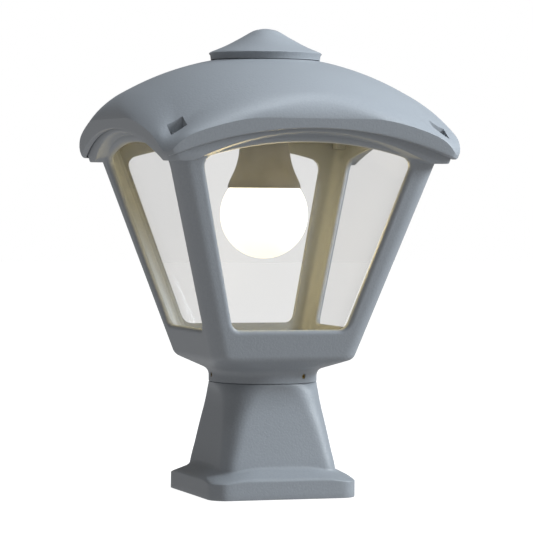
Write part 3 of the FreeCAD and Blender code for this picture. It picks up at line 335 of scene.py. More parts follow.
# clear plastic shows a little more where it is seen edge on, as a moulded cup does
tree = clearPlastic.node_tree
edgeOn = tree.nodes.new("ShaderNodeLayerWeight")
edgeOn.inputs["Blend"].default_value = finishes["clearPlastic"]["edgeBlend"]
thick = tree.nodes.new("ShaderNodeMapRange")
thick.inputs["To Min"].default_value = finishes["clearPlastic"]["alpha"]
thick.inputs["To Max"].default_value = finishes["clearPlastic"]["edgeAlpha"]
tree.links.new(edgeOn.outputs["Facing"], thick.inputs["Value"])
tree.links.new(thick.outputs["Result"], tree.nodes["Principled BSDF"].inputs["Alpha"])

# the globe glows warmer towards its bottom
tree, facts = opal.node_tree, finishes["opalPlastic"]
place = tree.nodes.new("ShaderNodeTexCoord")
parts = tree.nodes.new("ShaderNodeSeparateXYZ")
climb = tree.nodes.new("ShaderNodeMapRange")
climb.inputs["From Min"].default_value = facts["lowHeight"] * mm
climb.inputs["From Max"].default_value = facts["midHeight"] * mm
glow = tree.nodes.new("ShaderNodeValToRGB")
glow.color_ramp.elements[0].color = (*facts["low"], 1)
glow.color_ramp.elements[1].color = (*facts["middle"], 1)
tree.links.new(place.outputs["Object"], parts.inputs["Vector"])
tree.links.new(parts.outputs["Z"], climb.inputs["Value"])
tree.links.new(climb.outputs["Result"], glow.inputs["Fac"])
tree.links.new(glow.outputs["Color"], tree.nodes["Principled BSDF"].inputs["Emission Color"])
print("finishes mixed")


# roof

roof = {"half": 102.5, "at": 228.0, "lean": 0.3, "corner": 9.0, "wall": 3.0,            # its upright edge
        "sphere": 197.0, "centre": 102.0, "flat": 297.5, "flatHalf": 12.0, "skirt": 0.12,   # the dome
        "creaseSide": 253.3, "creaseCorner": 230.5, "crease": 0.06, "creaseLow": 226.0, "creaseHigh": 262.0,
        "sink": 1.0, "cornerSink": 3.0, "sinkRun": 24.0, "sinkPower": 1.5,
        "rimArch": 270.0, "rimApex": 247.0, "rimTip": 226.8, "lip": 0.6,                    # the edge's foot
        "underAt": 222.0, "underHalf": 60.0, "rimIn": (9.0, 3.0), "roomAt": 215.0, "roomHalf": 50.0,
        "pocketAt": 91.0, "pocket": 5.4, "pocketFloor": 239.0, "boss": 7.4, "bossLow": 236.25,
        "hole": 2.08, "holeLow": 225.0, "holeTop": 245.0, "postAt": 46.0, "post": 5.0, "postLow": 248.4,
        "postHole": 1.6, "postHoleLow": 240.0, "postHoleTop": 262.0, "capHoleLow": 280.0, "over": 300.0,
        "columns": 44, "rows": 44, "angle": 14}
roofTurns = sideTurns(roof["columns"])


def roofSide(z):
    return roof["half"] + roof["lean"] * (z - roof["at"])


def domeReach(half, height, inset, z):
    # how far out the dome is at z: the sphere, its rolled edge, and a skirt under it
    sphere, centre = roof["sphere"], roof["centre"]
    rise = height - centre
    roll = (half ** 2 + rise ** 2 - sphere ** 2) / (2 * (half - sphere))
    tangent = centre + rise * (sphere - inset) / (sphere - roll)
    if z <= height:
        return half - inset + roof["skirt"] * (height - z)
    if z <= tangent:
        return half - roll + math.sqrt(max((roll - inset) ** 2 - (z - height) ** 2, 0))
    return math.sqrt(max((sphere - inset) ** 2 - (z - centre) ** 2, 0))


def domeAt(turn, z, inset):
    # the dome's reach at an angle, from the lines through its side and its corner
    side = domeReach(roofSide(roof["creaseSide"]), roof["creaseSide"], inset, z)
    tip = diagonalReach(roofSide(roof["creaseCorner"]), roof["corner"])
    diagonal = domeReach(tip, roof["creaseCorner"], inset, z)
    return squareReach(turn, side, cornerFrom(side, diagonal))


def wallAt(turn, z, inset):
    # the roof's upright edge
    side = roofSide(z) - inset * math.hypot(1, roof["lean"])
    return squareReach(turn, side, max(roof["corner"] - inset, 1))


def roofReach(turn, z, inset):
    return smallerOf(wallAt(turn, z, inset), domeAt(turn, z, inset), roof["crease"])


def creaseAt(turn, inset):
    # where the edge meets the dome
    return findHeight(roof["creaseLow"], roof["creaseHigh"],
                      lambda z: domeAt(turn, z, inset) > wallAt(turn, z, inset))


def rimAt(turn):
    # the rim's height, which arches along each side
    z = roof["rimTip"]
    for _ in range(4):
        reach = wallAt(turn, z, 0)
        across = min(abs(reach * math.cos(turn)), abs(reach * math.sin(turn)))
        arch = roof["rimApex"] - roof["rimArch"] + math.sqrt(roof["rimArch"] ** 2 - across ** 2)
        z = max(roof["rimTip"], arch)
    return z


def sinkAt(x, y, over):
    # the dome lies a little lower than its sphere, most of all towards the corners
    share = min(max(over / roof["sinkRun"], 0), 1)
    cornerward = (abs(x * y) / roof["pocketAt"] ** 2) ** roof["sinkPower"]
    return share ** 2 * (3 - 2 * share) * (roof["sink"] + roof["cornerSink"] * cornerward)


def roofColumn(turn, inset, low):
    # one upright line over the roof's surface, from low to the flat under the cap
    crease, top = creaseAt(turn, inset), roof["flat"] - inset
    heights = steps(low, crease - 1.5, 7) + [crease + d for d in (-0.8, 0, 0.8)]
    heights += [crease + 1.5 + (top - crease - 1.5) * (0.5 * s + 0.5 * math.sin(s * quarter))
                for s in steps(0, 1, roof["rows"])]
    line = [spot(turn, roofReach(turn, z, inset), z) for z in heights]
    line += [spot(turn, roof["flatHalf"], top), spot(turn, 0, top)]
    return [(x, y, z - sinkAt(x, y, z - crease)) for x, y, z in line]


def closedLoft(columns):
    # a closed skin through upright lines that go once round
    rows = [[column[i] for column in columns] for i in range(len(columns[0]))]
    return joinPieces([layGrid(rows)])


outside, inside = [], []
for turn in roofTurns:
    rim = rimAt(turn)
    edge, lip = wallAt(turn, rim, 0), roof["lip"]
    rimFoot = [(0, roof["underAt"]), (roof["underHalf"], roof["underAt"])]
    rimFoot += [(edge - back, rim) for back in (*roof["rimIn"], lip)] + [(edge - 0.2 * lip, rim + 0.2 * lip)]
    outside.append([spot(turn, reach, z) for reach, z in rimFoot] + roofColumn(turn, 0, rim + lip))
    inside.append([spot(turn, 0, roof["roomAt"]), spot(turn, roof["roomHalf"], roof["roomAt"])]
                  + roofColumn(turn, roof["wall"], roof["roomAt"]))
shell, room = closedLoft(outside), closedLoft(inside)
corners = [(x * roof["pocketAt"], y * roof["pocketAt"]) for x in (-1, 1) for y in (-1, 1)]
posts = [(x * roof["postAt"], y * roof["postAt"]) for x in (-1, 1) for y in (-1, 1)]


def cornerBlocks(half, low, high):
    return [addBlock((x - half, y - half, low), (x + half, y + half, high)) for x, y in corners]


carve(room, cornerBlocks(roof["boss"], roof["bossLow"], roof["over"])
      + [addRod(x, y, roof["postLow"], roof["over"], roof["post"]) for x, y in posts])
carve(shell, [room])
carve(shell, cornerBlocks(roof["pocket"], roof["pocketFloor"], roof["over"])
      + [addRod(x, y, roof["holeLow"], roof["holeTop"], roof["hole"], 32) for x, y in corners]
      + [addRod(x, y, roof["postHoleLow"], roof["postHoleTop"], roof["postHole"], 32) for x, y in posts]
      + [addRod(0, 0, roof["capHoleLow"], roof["over"], roof["hole"], 32)])
finishPiece(joinPieces([shell], tidyWeld), "moulded_roof", "roof", resin, ["roof_shell"],
            roof["angle"])


# pointed cap

# outlines of (radius, height) from the tip out, and back in underneath
cap = {"top": [(0, 316.5), (3.2, 316.15), (8.7, 314.7), (17.5, 309.7), (27.75, 304.3), (37.4, 300.3)],
       "edge": [(38.4, 299.5), (38.3, 298.9), (37.6, 297.9), (37.2, 294.9)],
       "inner": [(34.6, 294.9), (34.6, 298.2), (27.75, 301.5), (17.5, 306.9), (6, 312.2), (6, 297.5),
                 (2.08, 297.5), (2.08, 305.6), (0, 305.6)]}


def smoothLine(points, count):
    # a curve through the points, one run of count steps for each gap
    line = [points[0]]
    for i in range(len(points) - 1):
        before, start, end = points[max(i - 1, 0)], points[i], points[i + 1]
        after = points[min(i + 2, len(points) - 1)]
        for step in range(1, count + 1):
            t = step / count
            line.append(tuple(0.5 * (2 * s + (e - b) * t + (2 * b - 5 * s + 4 * e - a) * t ** 2
                                     + (3 * s - b - 3 * e + a) * t ** 3)
                              for b, s, e, a in zip(before, start, end, after)))
    return line


capLine = smoothLine(cap["top"], 6) + cap["edge"] + cap["inner"]
finishPiece(turned(capLine, 160), "pointed_cap", "roof", resin, ["finial_cap"], 35)


# lantern frame

body = {"half": 50.2, "at": 93.0, "lean": 0.31, "corner": 10.0, "wall": 4.8, "seam": 101.0,
        "top": 251.0, "topLow": 236.0,
        "sill": 113.5, "sillHalf": 39.7, "side": 0.29, "apex": 238.2, "arch": 247.0, "round": 7.0,   # windows
        "edge": 3.4, "inEdge": 0.9, "edgeRows": 8, "inEdgeRows": 3,
        "collar": 36.9, "low": 76.25, "lowEdge": 0.4, "turn": 84.5, "blend": 6.0, "knee": 8.0,       # bowl
        "floor": 96.5, "sleeve": 34.8, "sleeveTop": 100.25, "bore": 30.08, "bowlRows": 34,
        "across": 40, "up": 44, "bend": 8, "angle": 35}


def bodyHalf(z, inset=0):
    return body["half"] - inset + body["lean"] * (z - body["at"])


def filletLine(corners, radii):
    # radius at a height, along (radius, height) corners whose inner ones are rounded
    bends = []
    for before, corner, after, radius in zip(corners, corners[1:], corners[2:], radii):
        middle = Vector(corner)
        back, on = (Vector(before) - middle).normalized(), (Vector(after) - middle).normalized()
        half = back.angle(on) / 2
        reach = radius / math.tan(half)
        bends.append((corner[1] + back.y * reach, corner[1] + on.y * reach,
                      middle + (back + on).normalized() * (radius / math.sin(half)), radius))

    def at(z):
        for (low, high, centre, radius), corner in zip(bends, corners[1:]):
            if low <= z <= high:
                swing = math.sqrt(max(radius ** 2 - (z - centre.y) ** 2, 0))
                return centre.x + swing if corner[0] > centre.x else centre.x - swing
        for (r0, z0), (r1, z1) in zip(corners, corners[1:]):
            if z0 <= z <= z1:
                return r0 + (r1 - r0) * (z - z0) / (z1 - z0)
        return corners[-1][0]
    return at


def windowOutline():
    # the window's outline from its lower left corner, in four runs that match the panel's four sides
    sill, low, arch, r = body["sill"], body["sillHalf"], body["arch"], body["round"]

    def archAt(x):
        return body["apex"] - arch + math.sqrt(arch ** 2 - x ** 2)

    half, z = low, sill
    for _ in range(20):
        half = low + body["side"] * (z - sill)
        z = archAt(half)
    right = [Vector((low, sill)), Vector((half, z))]
    bow = [Vector((x, archAt(x))) for x in steps(half, -half, 60)]
    path = [Vector((-low, sill))] + right + bow[1:-1] + [Vector((-half, z))]
    # rounding the four corners
    bends, count = [0, 1, 2, len(path) - 1], 12
    smooth, middles = [], []
    for i, point in enumerate(path):
        if i not in bends:
            if all((point - path[c]).length > r * 0.9 for c in bends):
                smooth.append(point)
            continue
        back = (path[i - 1] - point).normalized()
        on = (path[(i + 1) % len(path)] - point).normalized()
        angle = back.angle(on) / 2
        centre = point + (back + on).normalized() * (r / math.sin(angle))
        start, end = point + back * (r / math.tan(angle)), point + on * (r / math.tan(angle))
        a0 = math.atan2(start.y - centre.y, start.x - centre.x)
        a1 = math.atan2(end.y - centre.y, end.x - centre.x)
        sweep = (a1 - a0 + math.pi) % (2 * math.pi) - math.pi
        for k in range(count + 1):
            if k == count // 2:
                middles.append(len(smooth))
            angle = a0 + sweep * k / count
            smooth.append(centre + r * Vector((math.cos(angle), math.sin(angle))))
    return smooth, middles


def evenRun(points, count):
    # points at even distances along a line
    marks = [0]
    for a, b in zip(points, points[1:]):
        marks.append(marks[-1] + (b - a).length)
    run, i = [], 0
    for k in range(count + 1):
        want = marks[-1] * k / count
        while i < len(points) - 2 and marks[i + 1] < want:
            i += 1
        span = marks[i + 1] - marks[i]
        run.append(points[i].lerp(points[i + 1], (want - marks[i]) / span if span else 0))
    return run


outline, middles = windowOutline()
loop = outline[middles[0]:] + outline[:middles[0] + 1]
ends = [m - middles[0] for m in middles] + [len(loop) - 1]
window = []
for first, last, count in zip(ends, ends[1:], (body["across"], body["up"]) * 2):
    window += evenRun(loop[first:last + 1], count)[:-1]
along = [(window[(i + 1) % len(window)] - window[i - 1]).normalized() for i in range(len(window))]
outward = [Vector((way.y, -way.x)) for way in along]


def windowRow(offset, depth):
    # the window's outline, let out by an offset and sunk into the wall by a depth
    row = []
    for point, way in zip(window, outward):
        x, z = point + way * offset
        row.append((x, -(bodyHalf(z) - depth), z))
    return row + [row[0]]


underDome = roof["wall"] + 0.9   # the frame keeps this far inside the dome


def flatPoint(share, z, inset, corner):
    half = bodyHalf(z, inset)
    return (share * (half - corner), -half, z)


def cornerPoint(turn, z, inset, corner):
    flat = bodyHalf(z, inset) - corner
    return (flat + corner * math.sin(turn), -flat - corner * math.cos(turn), z)


def topOf(point, where):
    # the wall's top, kept clear of the dome
    def clear(z):
        x, y, _ = point(where, z, 0, body["corner"])
        return domeAt(math.atan2(y, x), z, underDome) > math.hypot(x, y)
    return findHeight(body["topLow"], body["top"], clear)


flatTops = [topOf(flatPoint, -1 + 2 * i / body["across"]) for i in range(body["across"] + 1)]
cornerTops = [topOf(cornerPoint, t) for t in steps(0, quarter, body["bend"])]


def panelRow(inset, corner):
    # one side's flat panel, all round its edge from the lower left corner
    count, heights = body["across"], steps(body["seam"], flatTops[0], body["up"])
    row = [flatPoint(-1 + 2 * i / count, body["seam"], inset, corner) for i in range(count)]
    row += [flatPoint(1, z, inset, corner) for z in heights[:-1]]
    row += [flatPoint(1 - 2 * i / count, flatTops[i], inset, corner) for i in range(count)]
    row += [flatPoint(-1, z, inset, corner) for z in reversed(heights[1:])]
    return row + [row[0]]


def between(first, second, share):
    return [tuple(Vector(a).lerp(Vector(b), share)) for a, b in zip(first, second)]


def spun(row, side):
    c, s = math.cos(side * quarter), math.sin(side * quarter)
    return [(x * c - y * s, x * s + y * c, z) for x, y, z in row]


wall, outCorner = body["wall"], body["corner"]
inCorner = outCorner - wall / 2
edge, inEdge = body["edge"], body["inEdge"]
outerPanel, innerPanel = panelRow(0, outCorner), panelRow(wall, inCorner)
outerRim, innerRim = windowRow(edge, 0), windowRow(inEdge, wall)
rows = [outerPanel] + [between(outerPanel, outerRim, s) for s in (0.35, 0.7, 0.9)] + [outerRim]
rows += [windowRow(edge * (1 - math.sin(t)), edge * (1 - math.cos(t)))
         for t in steps(0, quarter, body["edgeRows"])[1:]]
rows += [windowRow(inEdge * (1 - math.cos(t)), wall - inEdge * (1 - math.sin(t)))
         for t in steps(0, quarter, body["inEdgeRows"])]
rows += [between(innerRim, innerPanel, s) for s in (0.3, 0.7)] + [innerPanel]


def ringRow(z, inset, corner):
    # the whole way round at one height, or at the wall's top, with the panels' and the corner strips' places
    ring = []
    for side in range(4):
        line = [flatPoint(-1 + 2 * i / body["across"], z or flatTops[i], inset, corner)
                for i in range(body["across"])]
        line += [cornerPoint(t, z or top, inset, corner)
                 for t, top in zip(steps(0, quarter, body["bend"])[:-1], cornerTops)]
        ring += spun(line, side)
    return ring + [ring[0]]


seamRing = ringRow(body["seam"], 0, outCorner)
turns = [math.atan2(y, x) for x, y, z in seamRing]


def bowlLine(reachAt):
    # the bowl's line from the collar up to the seam
    return filletLine([(body["collar"], body["low"]), (body["collar"], body["turn"]),
                       (reachAt(body["at"]), body["at"]), (reachAt(body["seam"]), body["seam"])],
                      (body["blend"], body["knee"]))


def circleRow(radius, z):
    return [spot(t, radius, z) for t in turns]


sideLine = bowlLine(bodyHalf)
cornerLine = bowlLine(lambda z: diagonalReach(bodyHalf(z), outCorner))
bowl = [seamRing]
for z in reversed(steps(body["low"], body["seam"], body["bowlRows"])[1:-1]):
    corner = cornerFrom(sideLine(z), cornerLine(z))
    bowl.append([spot(t, squareReach(t, sideLine(z), corner), z) for t in turns])
bowl += [circleRow(radius, z) for radius, z in (
    (body["collar"], body["low"] + body["lowEdge"]), (body["collar"] - body["lowEdge"], body["low"]),
    (body["bore"], body["low"]), (body["bore"], body["sleeveTop"]),
    (body["sleeve"], body["sleeveTop"]), (body["sleeve"], body["floor"]))]
bowl += [ringRow(body["floor"], wall, inCorner), ringRow(body["seam"], wall, inCorner)]
parts = [layGrid(bowl), layGrid([ringRow(None, 0, outCorner), ringRow(None, wall, inCorner)])]
bends = list(zip(steps(0, quarter, body["bend"]), cornerTops))
for side in range(4):
    parts.append(layGrid([spun(row, side) for row in rows]))
    for inset, corner in ((0, outCorner), (wall, inCorner)):
        strip = [[cornerPoint(t, body["seam"] + (top - body["seam"]) * share, inset, corner)
                  for t, top in bends] for share in steps(0, 1, body["up"])]
        parts.append(layGrid([spun(row, side) for row in strip]))
cage = joinPieces(parts)
print("frame skin laid")

# ears and soffits under the roof's rim
cornice = {"ear": 225.0, "rise": 4.2, "arch": 215.0, "slope": 0.6, "start": 4.0, "hang": 2.6, "inside": 2.4,
           "rootAt": 232.0, "corner": 6.0, "round": 0.5, "topGap": 0.8, "steps": 40,
           "seat": 236.0, "seatTop": 260.0, "room": 8.3,
           "insert": 3.4, "insertLow": 228.5, "insertTop": 240.0}
eaves = bodyHalf(cornice["ear"]) - cornice["start"]
soffitTop = body["apex"] + cornice["rise"] - cornice["slope"] * (bodyHalf(body["apex"]) - eaves)


def soffitAt(x, y):
    # height of the frame's underside beyond the wall, arched along each side
    across, out = sorted((abs(x), abs(y)))
    fall = cornice["arch"] - math.sqrt(cornice["arch"] ** 2 - across ** 2)
    high = min(soffitTop - fall + cornice["slope"] * (out - eaves), body["top"] - cornice["topGap"])
    return max(cornice["ear"], high)


def corniceReach(turn, z):
    flat = roofSide(z) - underDome * math.hypot(1, roof["lean"])
    return smallerOf(squareReach(turn, flat, cornice["corner"]), domeAt(turn, z, underDome), cornice["round"])


def hangingSoffit(turn, root, reach, out):
    # the soffit at a distance out, which hangs a little under the rim at its outer edge
    drop = cornice["hang"] * min(max((out - root) / (reach - root), 0), 1) ** 2
    return max(soffitAt(out * math.cos(turn), out * math.sin(turn)) - drop, cornice["ear"])


columns = []
for turn in sideTurns(cornice["steps"]):
    root = squareReach(turn, bodyHalf(cornice["rootAt"]) - cornice["inside"], outCorner - 2)
    reach = 100   # a first guess, made better each time round
    for _ in range(12):
        reach = corniceReach(turn, hangingSoffit(turn, root, reach, reach))
    low = hangingSoffit(turn, root, reach, reach)
    top = findHeight(body["topLow"], body["top"], lambda z: domeAt(turn, z, underDome) > root + 1)
    line = [spot(turn, r, hangingSoffit(turn, root, reach, r)) for r in steps(root, reach - 0.5, 10)]
    line += [spot(turn, corniceReach(turn, z), z) for z in steps(low + 0.5, top - 0.4, 6)]
    line += [spot(turn, max(corniceReach(turn, top) - 0.6, root + 0.3), top), spot(turn, root, top)]
    columns.append(line + [line[0]])
eavesRing = closedLoft(columns)

# the windows go through the ring too
for side in (0, 1):
    tool = layGrid([spun([(x, y, z) for x, z in window + window[:1]], side) for y in (-130, 130)])
    takeUp(tool)
    bpy.ops.object.mode_set(mode="EDIT")
    bpy.ops.mesh.select_all(action="SELECT")
    bpy.ops.mesh.remove_doubles(threshold=weld * mm)
    bpy.ops.mesh.select_all(action="DESELECT")
    bpy.ops.mesh.select_non_manifold()
    bpy.ops.mesh.edge_face_add()
    bpy.ops.mesh.select_all(action="SELECT")
    bpy.ops.mesh.normals_make_consistent(inside=False)
    bpy.ops.object.mode_set(mode="OBJECT")
    carve(eavesRing, [tool])
for part in (eavesRing, cage):
    for x, y in corners:
        low = (x - cornice["room"], y - cornice["room"], cornice["seat"])
        high = (x + cornice["room"], y + cornice["room"], cornice["seatTop"])
        carve(part, [addBlock(low, high)])
        if part == eavesRing:
            carve(part, [addRod(x, y, cornice["insertLow"], cornice["insertTop"], cornice["insert"], 32)])

# three set screws stand round the collar
setScrew = {"height": 81.0, "radius": 1.65, "start": 30.3, "end": 36.6, "socket": 0.8, "socketDepth": 1.6,
            "edge": 0.2, "hole": 1.75, "holeFrom": 20.0, "holeTo": 45.0, "angles": (180, 300, 60)}


def radialRod(angle, start, end, radius):
    # a level rod that points away from the axis at the set screws' height
    rod = addRod(0, 0, start, end, radius, 40)
    upTo = Matrix.Translation((0, 0, setScrew["height"] * mm))
    rod.data.transform(Matrix.Rotation(math.radians(angle), 4, "Z") @ upTo @ Matrix.Rotation(quarter, 4, "Y"))
    return rod


for angle in setScrew["angles"]:
    carve(cage, [radialRod(angle, setScrew["holeFrom"], setScrew["holeTo"], setScrew["hole"])])
carve(cage, [eavesRing], "UNION")
finishPiece(joinPieces([cage], tidyWeld), "window_frame", "lantern_head", resin,
            ["lantern_frame"], body["angle"])


# set screws, whose brass ends show in the collar

screws = []
for angle in setScrew["angles"]:
    rod = radialRod(angle, setScrew["start"], setScrew["end"], setScrew["radius"])
    breakEdges(rod, setScrew["edge"])
    socketFrom = setScrew["end"] - setScrew["socketDepth"]
    screws.append(carve(rod, [radialRod(angle, socketFrom, setScrew["holeTo"], setScrew["socket"])]))
finishPiece(joinPieces(screws, tidyWeld), "set_screw_ends", "lantern_head", mixed["agedBrass"],
            ["set_screws", "collar_inserts"], 35)


# pedestal

# sections are (height, half width, corner), up the column
foot = {"half": 52.0, "corner": 10.0, "edge": 11.0, "lowEdge": 0.6, "crown": 56.5, "crownBlend": 3.0,   # foot
        "neck": 20.0, "neckHalf": 40.5, "neckCorner": 26.0, "neckTop": 26.0, "neckBlend": 3.4,
        "sections": [(0, 43.5, 9.0), (20, 41.1, 10.0), (32.7, 39.0, 11.4), (46.4, 36.9, 13.4),
                     (60, 35.0, 17.0), (67, 34.6, 20.5), (71, 34.9, 24.5), (74, 35.9, 31.5),
                     (76, 36.9, 36.88)],
        "top": 76.0, "topEdge": 0.6, "softEdge": 0.15,
        "spigot": 30.0, "spigotWall": 4.5, "spigotTop": 100.0, "spigotEdge": 0.8, "spigotInEdge": 0.6,
        "wall": 3.6, "cavity": 8.0, "ceiling": 72.0, "entry": 8.0, "entryLow": 60.0, "entryTop": 80.0,
        "fixing": 41.0, "pocket": 4.8, "pocketFloor": 5.0, "pocketTop": 40.0, "hole": 2.6, "below": -1.0,
        "columns": 40, "hollowColumns": 24, "angle": 35}
sectionLine = smoothLine(foot["sections"], 8)


def columnReach(turn, z, inset=0):
    # a rounded square whose corners open out to a circle at the top
    for low, high in zip(sectionLine, sectionLine[1:]):
        if z <= high[0]:
            share = (max(z, low[0]) - low[0]) / (high[0] - low[0])
            half, corner = (a + (b - a) * share for a, b in zip(low[1:], high[1:]))
            break
    return squareReach(turn, half - inset, min(max(corner - inset, 1), half - inset - 0.01))


def crownReach(turn, z):
    # the slope from the foot's edge up to the column
    share = max(z - foot["edge"], 0) / (foot["neck"] - foot["edge"])
    return squareReach(turn, foot["crown"] + (foot["neckHalf"] - foot["crown"]) * share, foot["neckCorner"])


def edgeReach(turn):
    return squareReach(turn, foot["half"], foot["corner"])


def outerReach(turn, z):
    if z >= foot["neckTop"]:
        return columnReach(turn, z)
    flange = smallerOf(edgeReach(turn), crownReach(turn, z), foot["crownBlend"])
    return -smallerOf(-columnReach(turn, z), -flange, foot["neckBlend"])


def spigotLine():
    r, bore = foot["spigot"], foot["spigot"] - foot["spigotWall"]
    top, out, back = foot["spigotTop"], foot["spigotEdge"], foot["spigotInEdge"]
    return [(r, foot["top"]), (r, top - out), (r - out, top), (bore + back, top), (bore, top - back),
            (bore, foot["top"]), (0, foot["top"])]


columns = []
for turn in sideTurns(foot["columns"]):
    bandTop = findHeight(foot["edge"], foot["neck"], lambda z: crownReach(turn, z) > edgeReach(turn))
    neck = findHeight(bandTop + 2.4, foot["neck"], lambda z: crownReach(turn, z) > columnReach(turn, z))
    heights = [0.6, 4] + steps(bandTop - 2.4, bandTop + 1.2, 12)
    heights += steps(bandTop + 1.2, max(neck - 1, bandTop + 1.3), 5)[1:]
    heights += steps(neck - 1, neck + 2, 8)[1:] + steps(neck + 2, foot["top"] - 0.5, 34)[1:]
    base, collar, soft = outerReach(turn, 0), columnReach(turn, foot["top"]), foot["softEdge"]
    line = [(0, 0), (foot["half"] - 12, 0), (base - foot["lowEdge"], 0), (base - soft, soft)]
    line += [(outerReach(turn, z), z) for z in heights]
    line += [(collar - soft, foot["top"] - soft), (collar - foot["topEdge"], foot["top"])] + spigotLine()
    columns.append([spot(turn, reach, z) for reach, z in line])
plinth = closedLoft(columns)


def hollowLoft(lineAt):
    # a closed solid to be cut away from below, from a line of (reach, height) at each angle
    return closedLoft([[spot(turn, reach, z) for reach, z in lineAt(turn)]
                       for turn in sideTurns(foot["hollowColumns"])])


def columnHollow(turn):
    heights = steps(4, foot["ceiling"], 12)
    return ([(0, foot["below"]), (columnReach(turn, heights[0], foot["wall"]), foot["below"])]
            + [(columnReach(turn, z, foot["wall"]), z) for z in heights] + [(0, foot["ceiling"])])


def footHollow(turn):
    reach = squareReach(turn, foot["half"] - foot["wall"], foot["corner"] - foot["wall"] / 2)
    return [(0, foot["below"]), (reach, foot["below"]), (reach, foot["cavity"]), (0, foot["cavity"])]


hollow, under = hollowLoft(columnHollow), hollowLoft(footHollow)
fixings = [(side * foot["fixing"], foot["fixing"]) for side in (-1, 1)]
carve(under, [addRod(x, y, -2, 20, foot["pocket"] + foot["wall"] / 2) for x, y in fixings])
carve(plinth, [hollow, under, addRod(0, 0, foot["entryLow"], foot["entryTop"], foot["entry"])]
      + [addRod(x, y, foot["pocketFloor"], foot["pocketTop"], foot["pocket"]) for x, y in fixings]
      + [addRod(x, y, -5, 20, foot["hole"]) for x, y in fixings])
finishPiece(joinPieces([plinth], tidyWeld), "moulded_pedestal", "base", resin, ["pedestal"],
            foot["angle"])


# clear inner diffuser

glass = {"gap": 3.0, "wall": 2.4, "corner": 20.0, "floor": 107.5, "floorHalf": 40.0, "roomHalf": 38.0,
         "foot": 4.0, "footRows": 5, "sideFrom": 8.0, "sideRows": 14,
         "rimHalf": 90.0, "rimCorner": 26.0, "rim": 241.0, "rimTop": 243.4, "rimEdge": 0.3, "columns": 24}


def glassReach(turn, z, inset):
    half = bodyHalf(z) - body["wall"] - glass["gap"] - inset
    return squareReach(turn, half, glass["corner"] - inset)


def glassFoot(turn, inset):
    # the rounded foot of the cup's side
    points, floor = [], glass["floor"] + inset
    for t in steps(0, quarter, glass["footRows"]):
        z, back = floor + glass["foot"] * (1 - math.cos(t)), inset + glass["foot"] * (1 - math.sin(t))
        half = bodyHalf(floor) - body["wall"] - glass["gap"] - back + body["lean"] * (z - floor)
        points.append((squareReach(turn, half, glass["corner"] - back), z))
    return points


columns = []
for turn in sideTurns(glass["columns"]):
    w, low, high, soft = glass["wall"], glass["floor"], glass["rimTop"], glass["rimEdge"]
    rim = squareReach(turn, glass["rimHalf"], glass["rimCorner"])
    line = [(0, low), (glass["floorHalf"], low)] + glassFoot(turn, 0)
    line += [(glassReach(turn, z, 0), z)
             for z in steps(low + glass["sideFrom"], glass["rim"], glass["sideRows"])]
    line += [(rim - soft, glass["rim"]), (rim, glass["rim"] + soft), (rim, high - soft), (rim - soft, high)]
    line += [(glassReach(turn, z, w), z)
             for z in reversed(steps(low + glass["sideFrom"], high, glass["sideRows"]))]
    line += glassFoot(turn, w)[::-1] + [(glass["roomHalf"], low + w), (0, low + w)]
    columns.append([spot(turn, reach, z) for reach, z in line])
finishPiece(closedLoft(columns), "clear_cup", "lantern_head", clearPlastic,
            ["clear_diffuser"], 35)


# lamp

lamp = {"radius": 30.0, "centre": 190.0, "wall": 1.2, "cut": 208.0, "rows": 40, "turns": 96,
        "housing": [(25, 208), (24.7, 210), (23.6, 213), (20.4, 220), (18.2, 227), (17, 235), (15.6, 243)],
        "housingWall": 1.6, "glow": 0.72, "glowSize": 26.0, "glowColor": (1.0, 0.78, 0.36)}


def ball(radius):
    # the globe's line from its lowest point up to the housing
    top = math.asin((lamp["cut"] - lamp["centre"]) / radius)
    line = [(radius * math.cos(t), lamp["centre"] + radius * math.sin(t))
            for t in steps(-quarter, top, lamp["rows"])]
    return [(0, line[0][1])] + line[1:]


globeLine = ball(lamp["radius"]) + ball(lamp["radius"] - lamp["wall"])[::-1]
globe = finishPiece(turned(globeLine, lamp["turns"]), "opal_globe", "bulb", opal,
                    ["bulb_globe"], 40)
globe.visible_shadow = False   # the light inside shines through it
shellLine = smoothLine(lamp["housing"], 6)
shellLine += [(radius - lamp["housingWall"], z) for radius, z in reversed(shellLine)] + shellLine[:1]
finishPiece(turned(shellLine, lamp["turns"]), "lamp_housing", "bulb", mixed["housingPlastic"],
            ["bulb_housing"], 40)


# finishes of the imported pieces, by the names of their slots

finishOf = {"shell_plastic": "silverResin", "clear_plastic": "clearPlastic", "opal_plastic": "opalPlastic",
            "grommet_rubber": "blackRubber", "brass": "turnedBrass", "screw_steel": "zincPlate",
            "tray_plastic": "trayPlastic", "holder_plastic": "holderPlastic", "ceramic": "porcelain",
            "plated_metal": "platedShell", "live_lead": "brownWire", "neutral_lead": "blueWire",
            "housing_plastic": "housingPlastic", "board_metal": "boardWhite", "phosphor": "phosphor",
            "dark_glass": "darkGlass"}
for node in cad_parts.values():
    for place in node.material_slots:
        place.material = mixed[finishOf[place.material.name.split(".")[0]]]
print("packed pieces finished")


# floor, light and camera

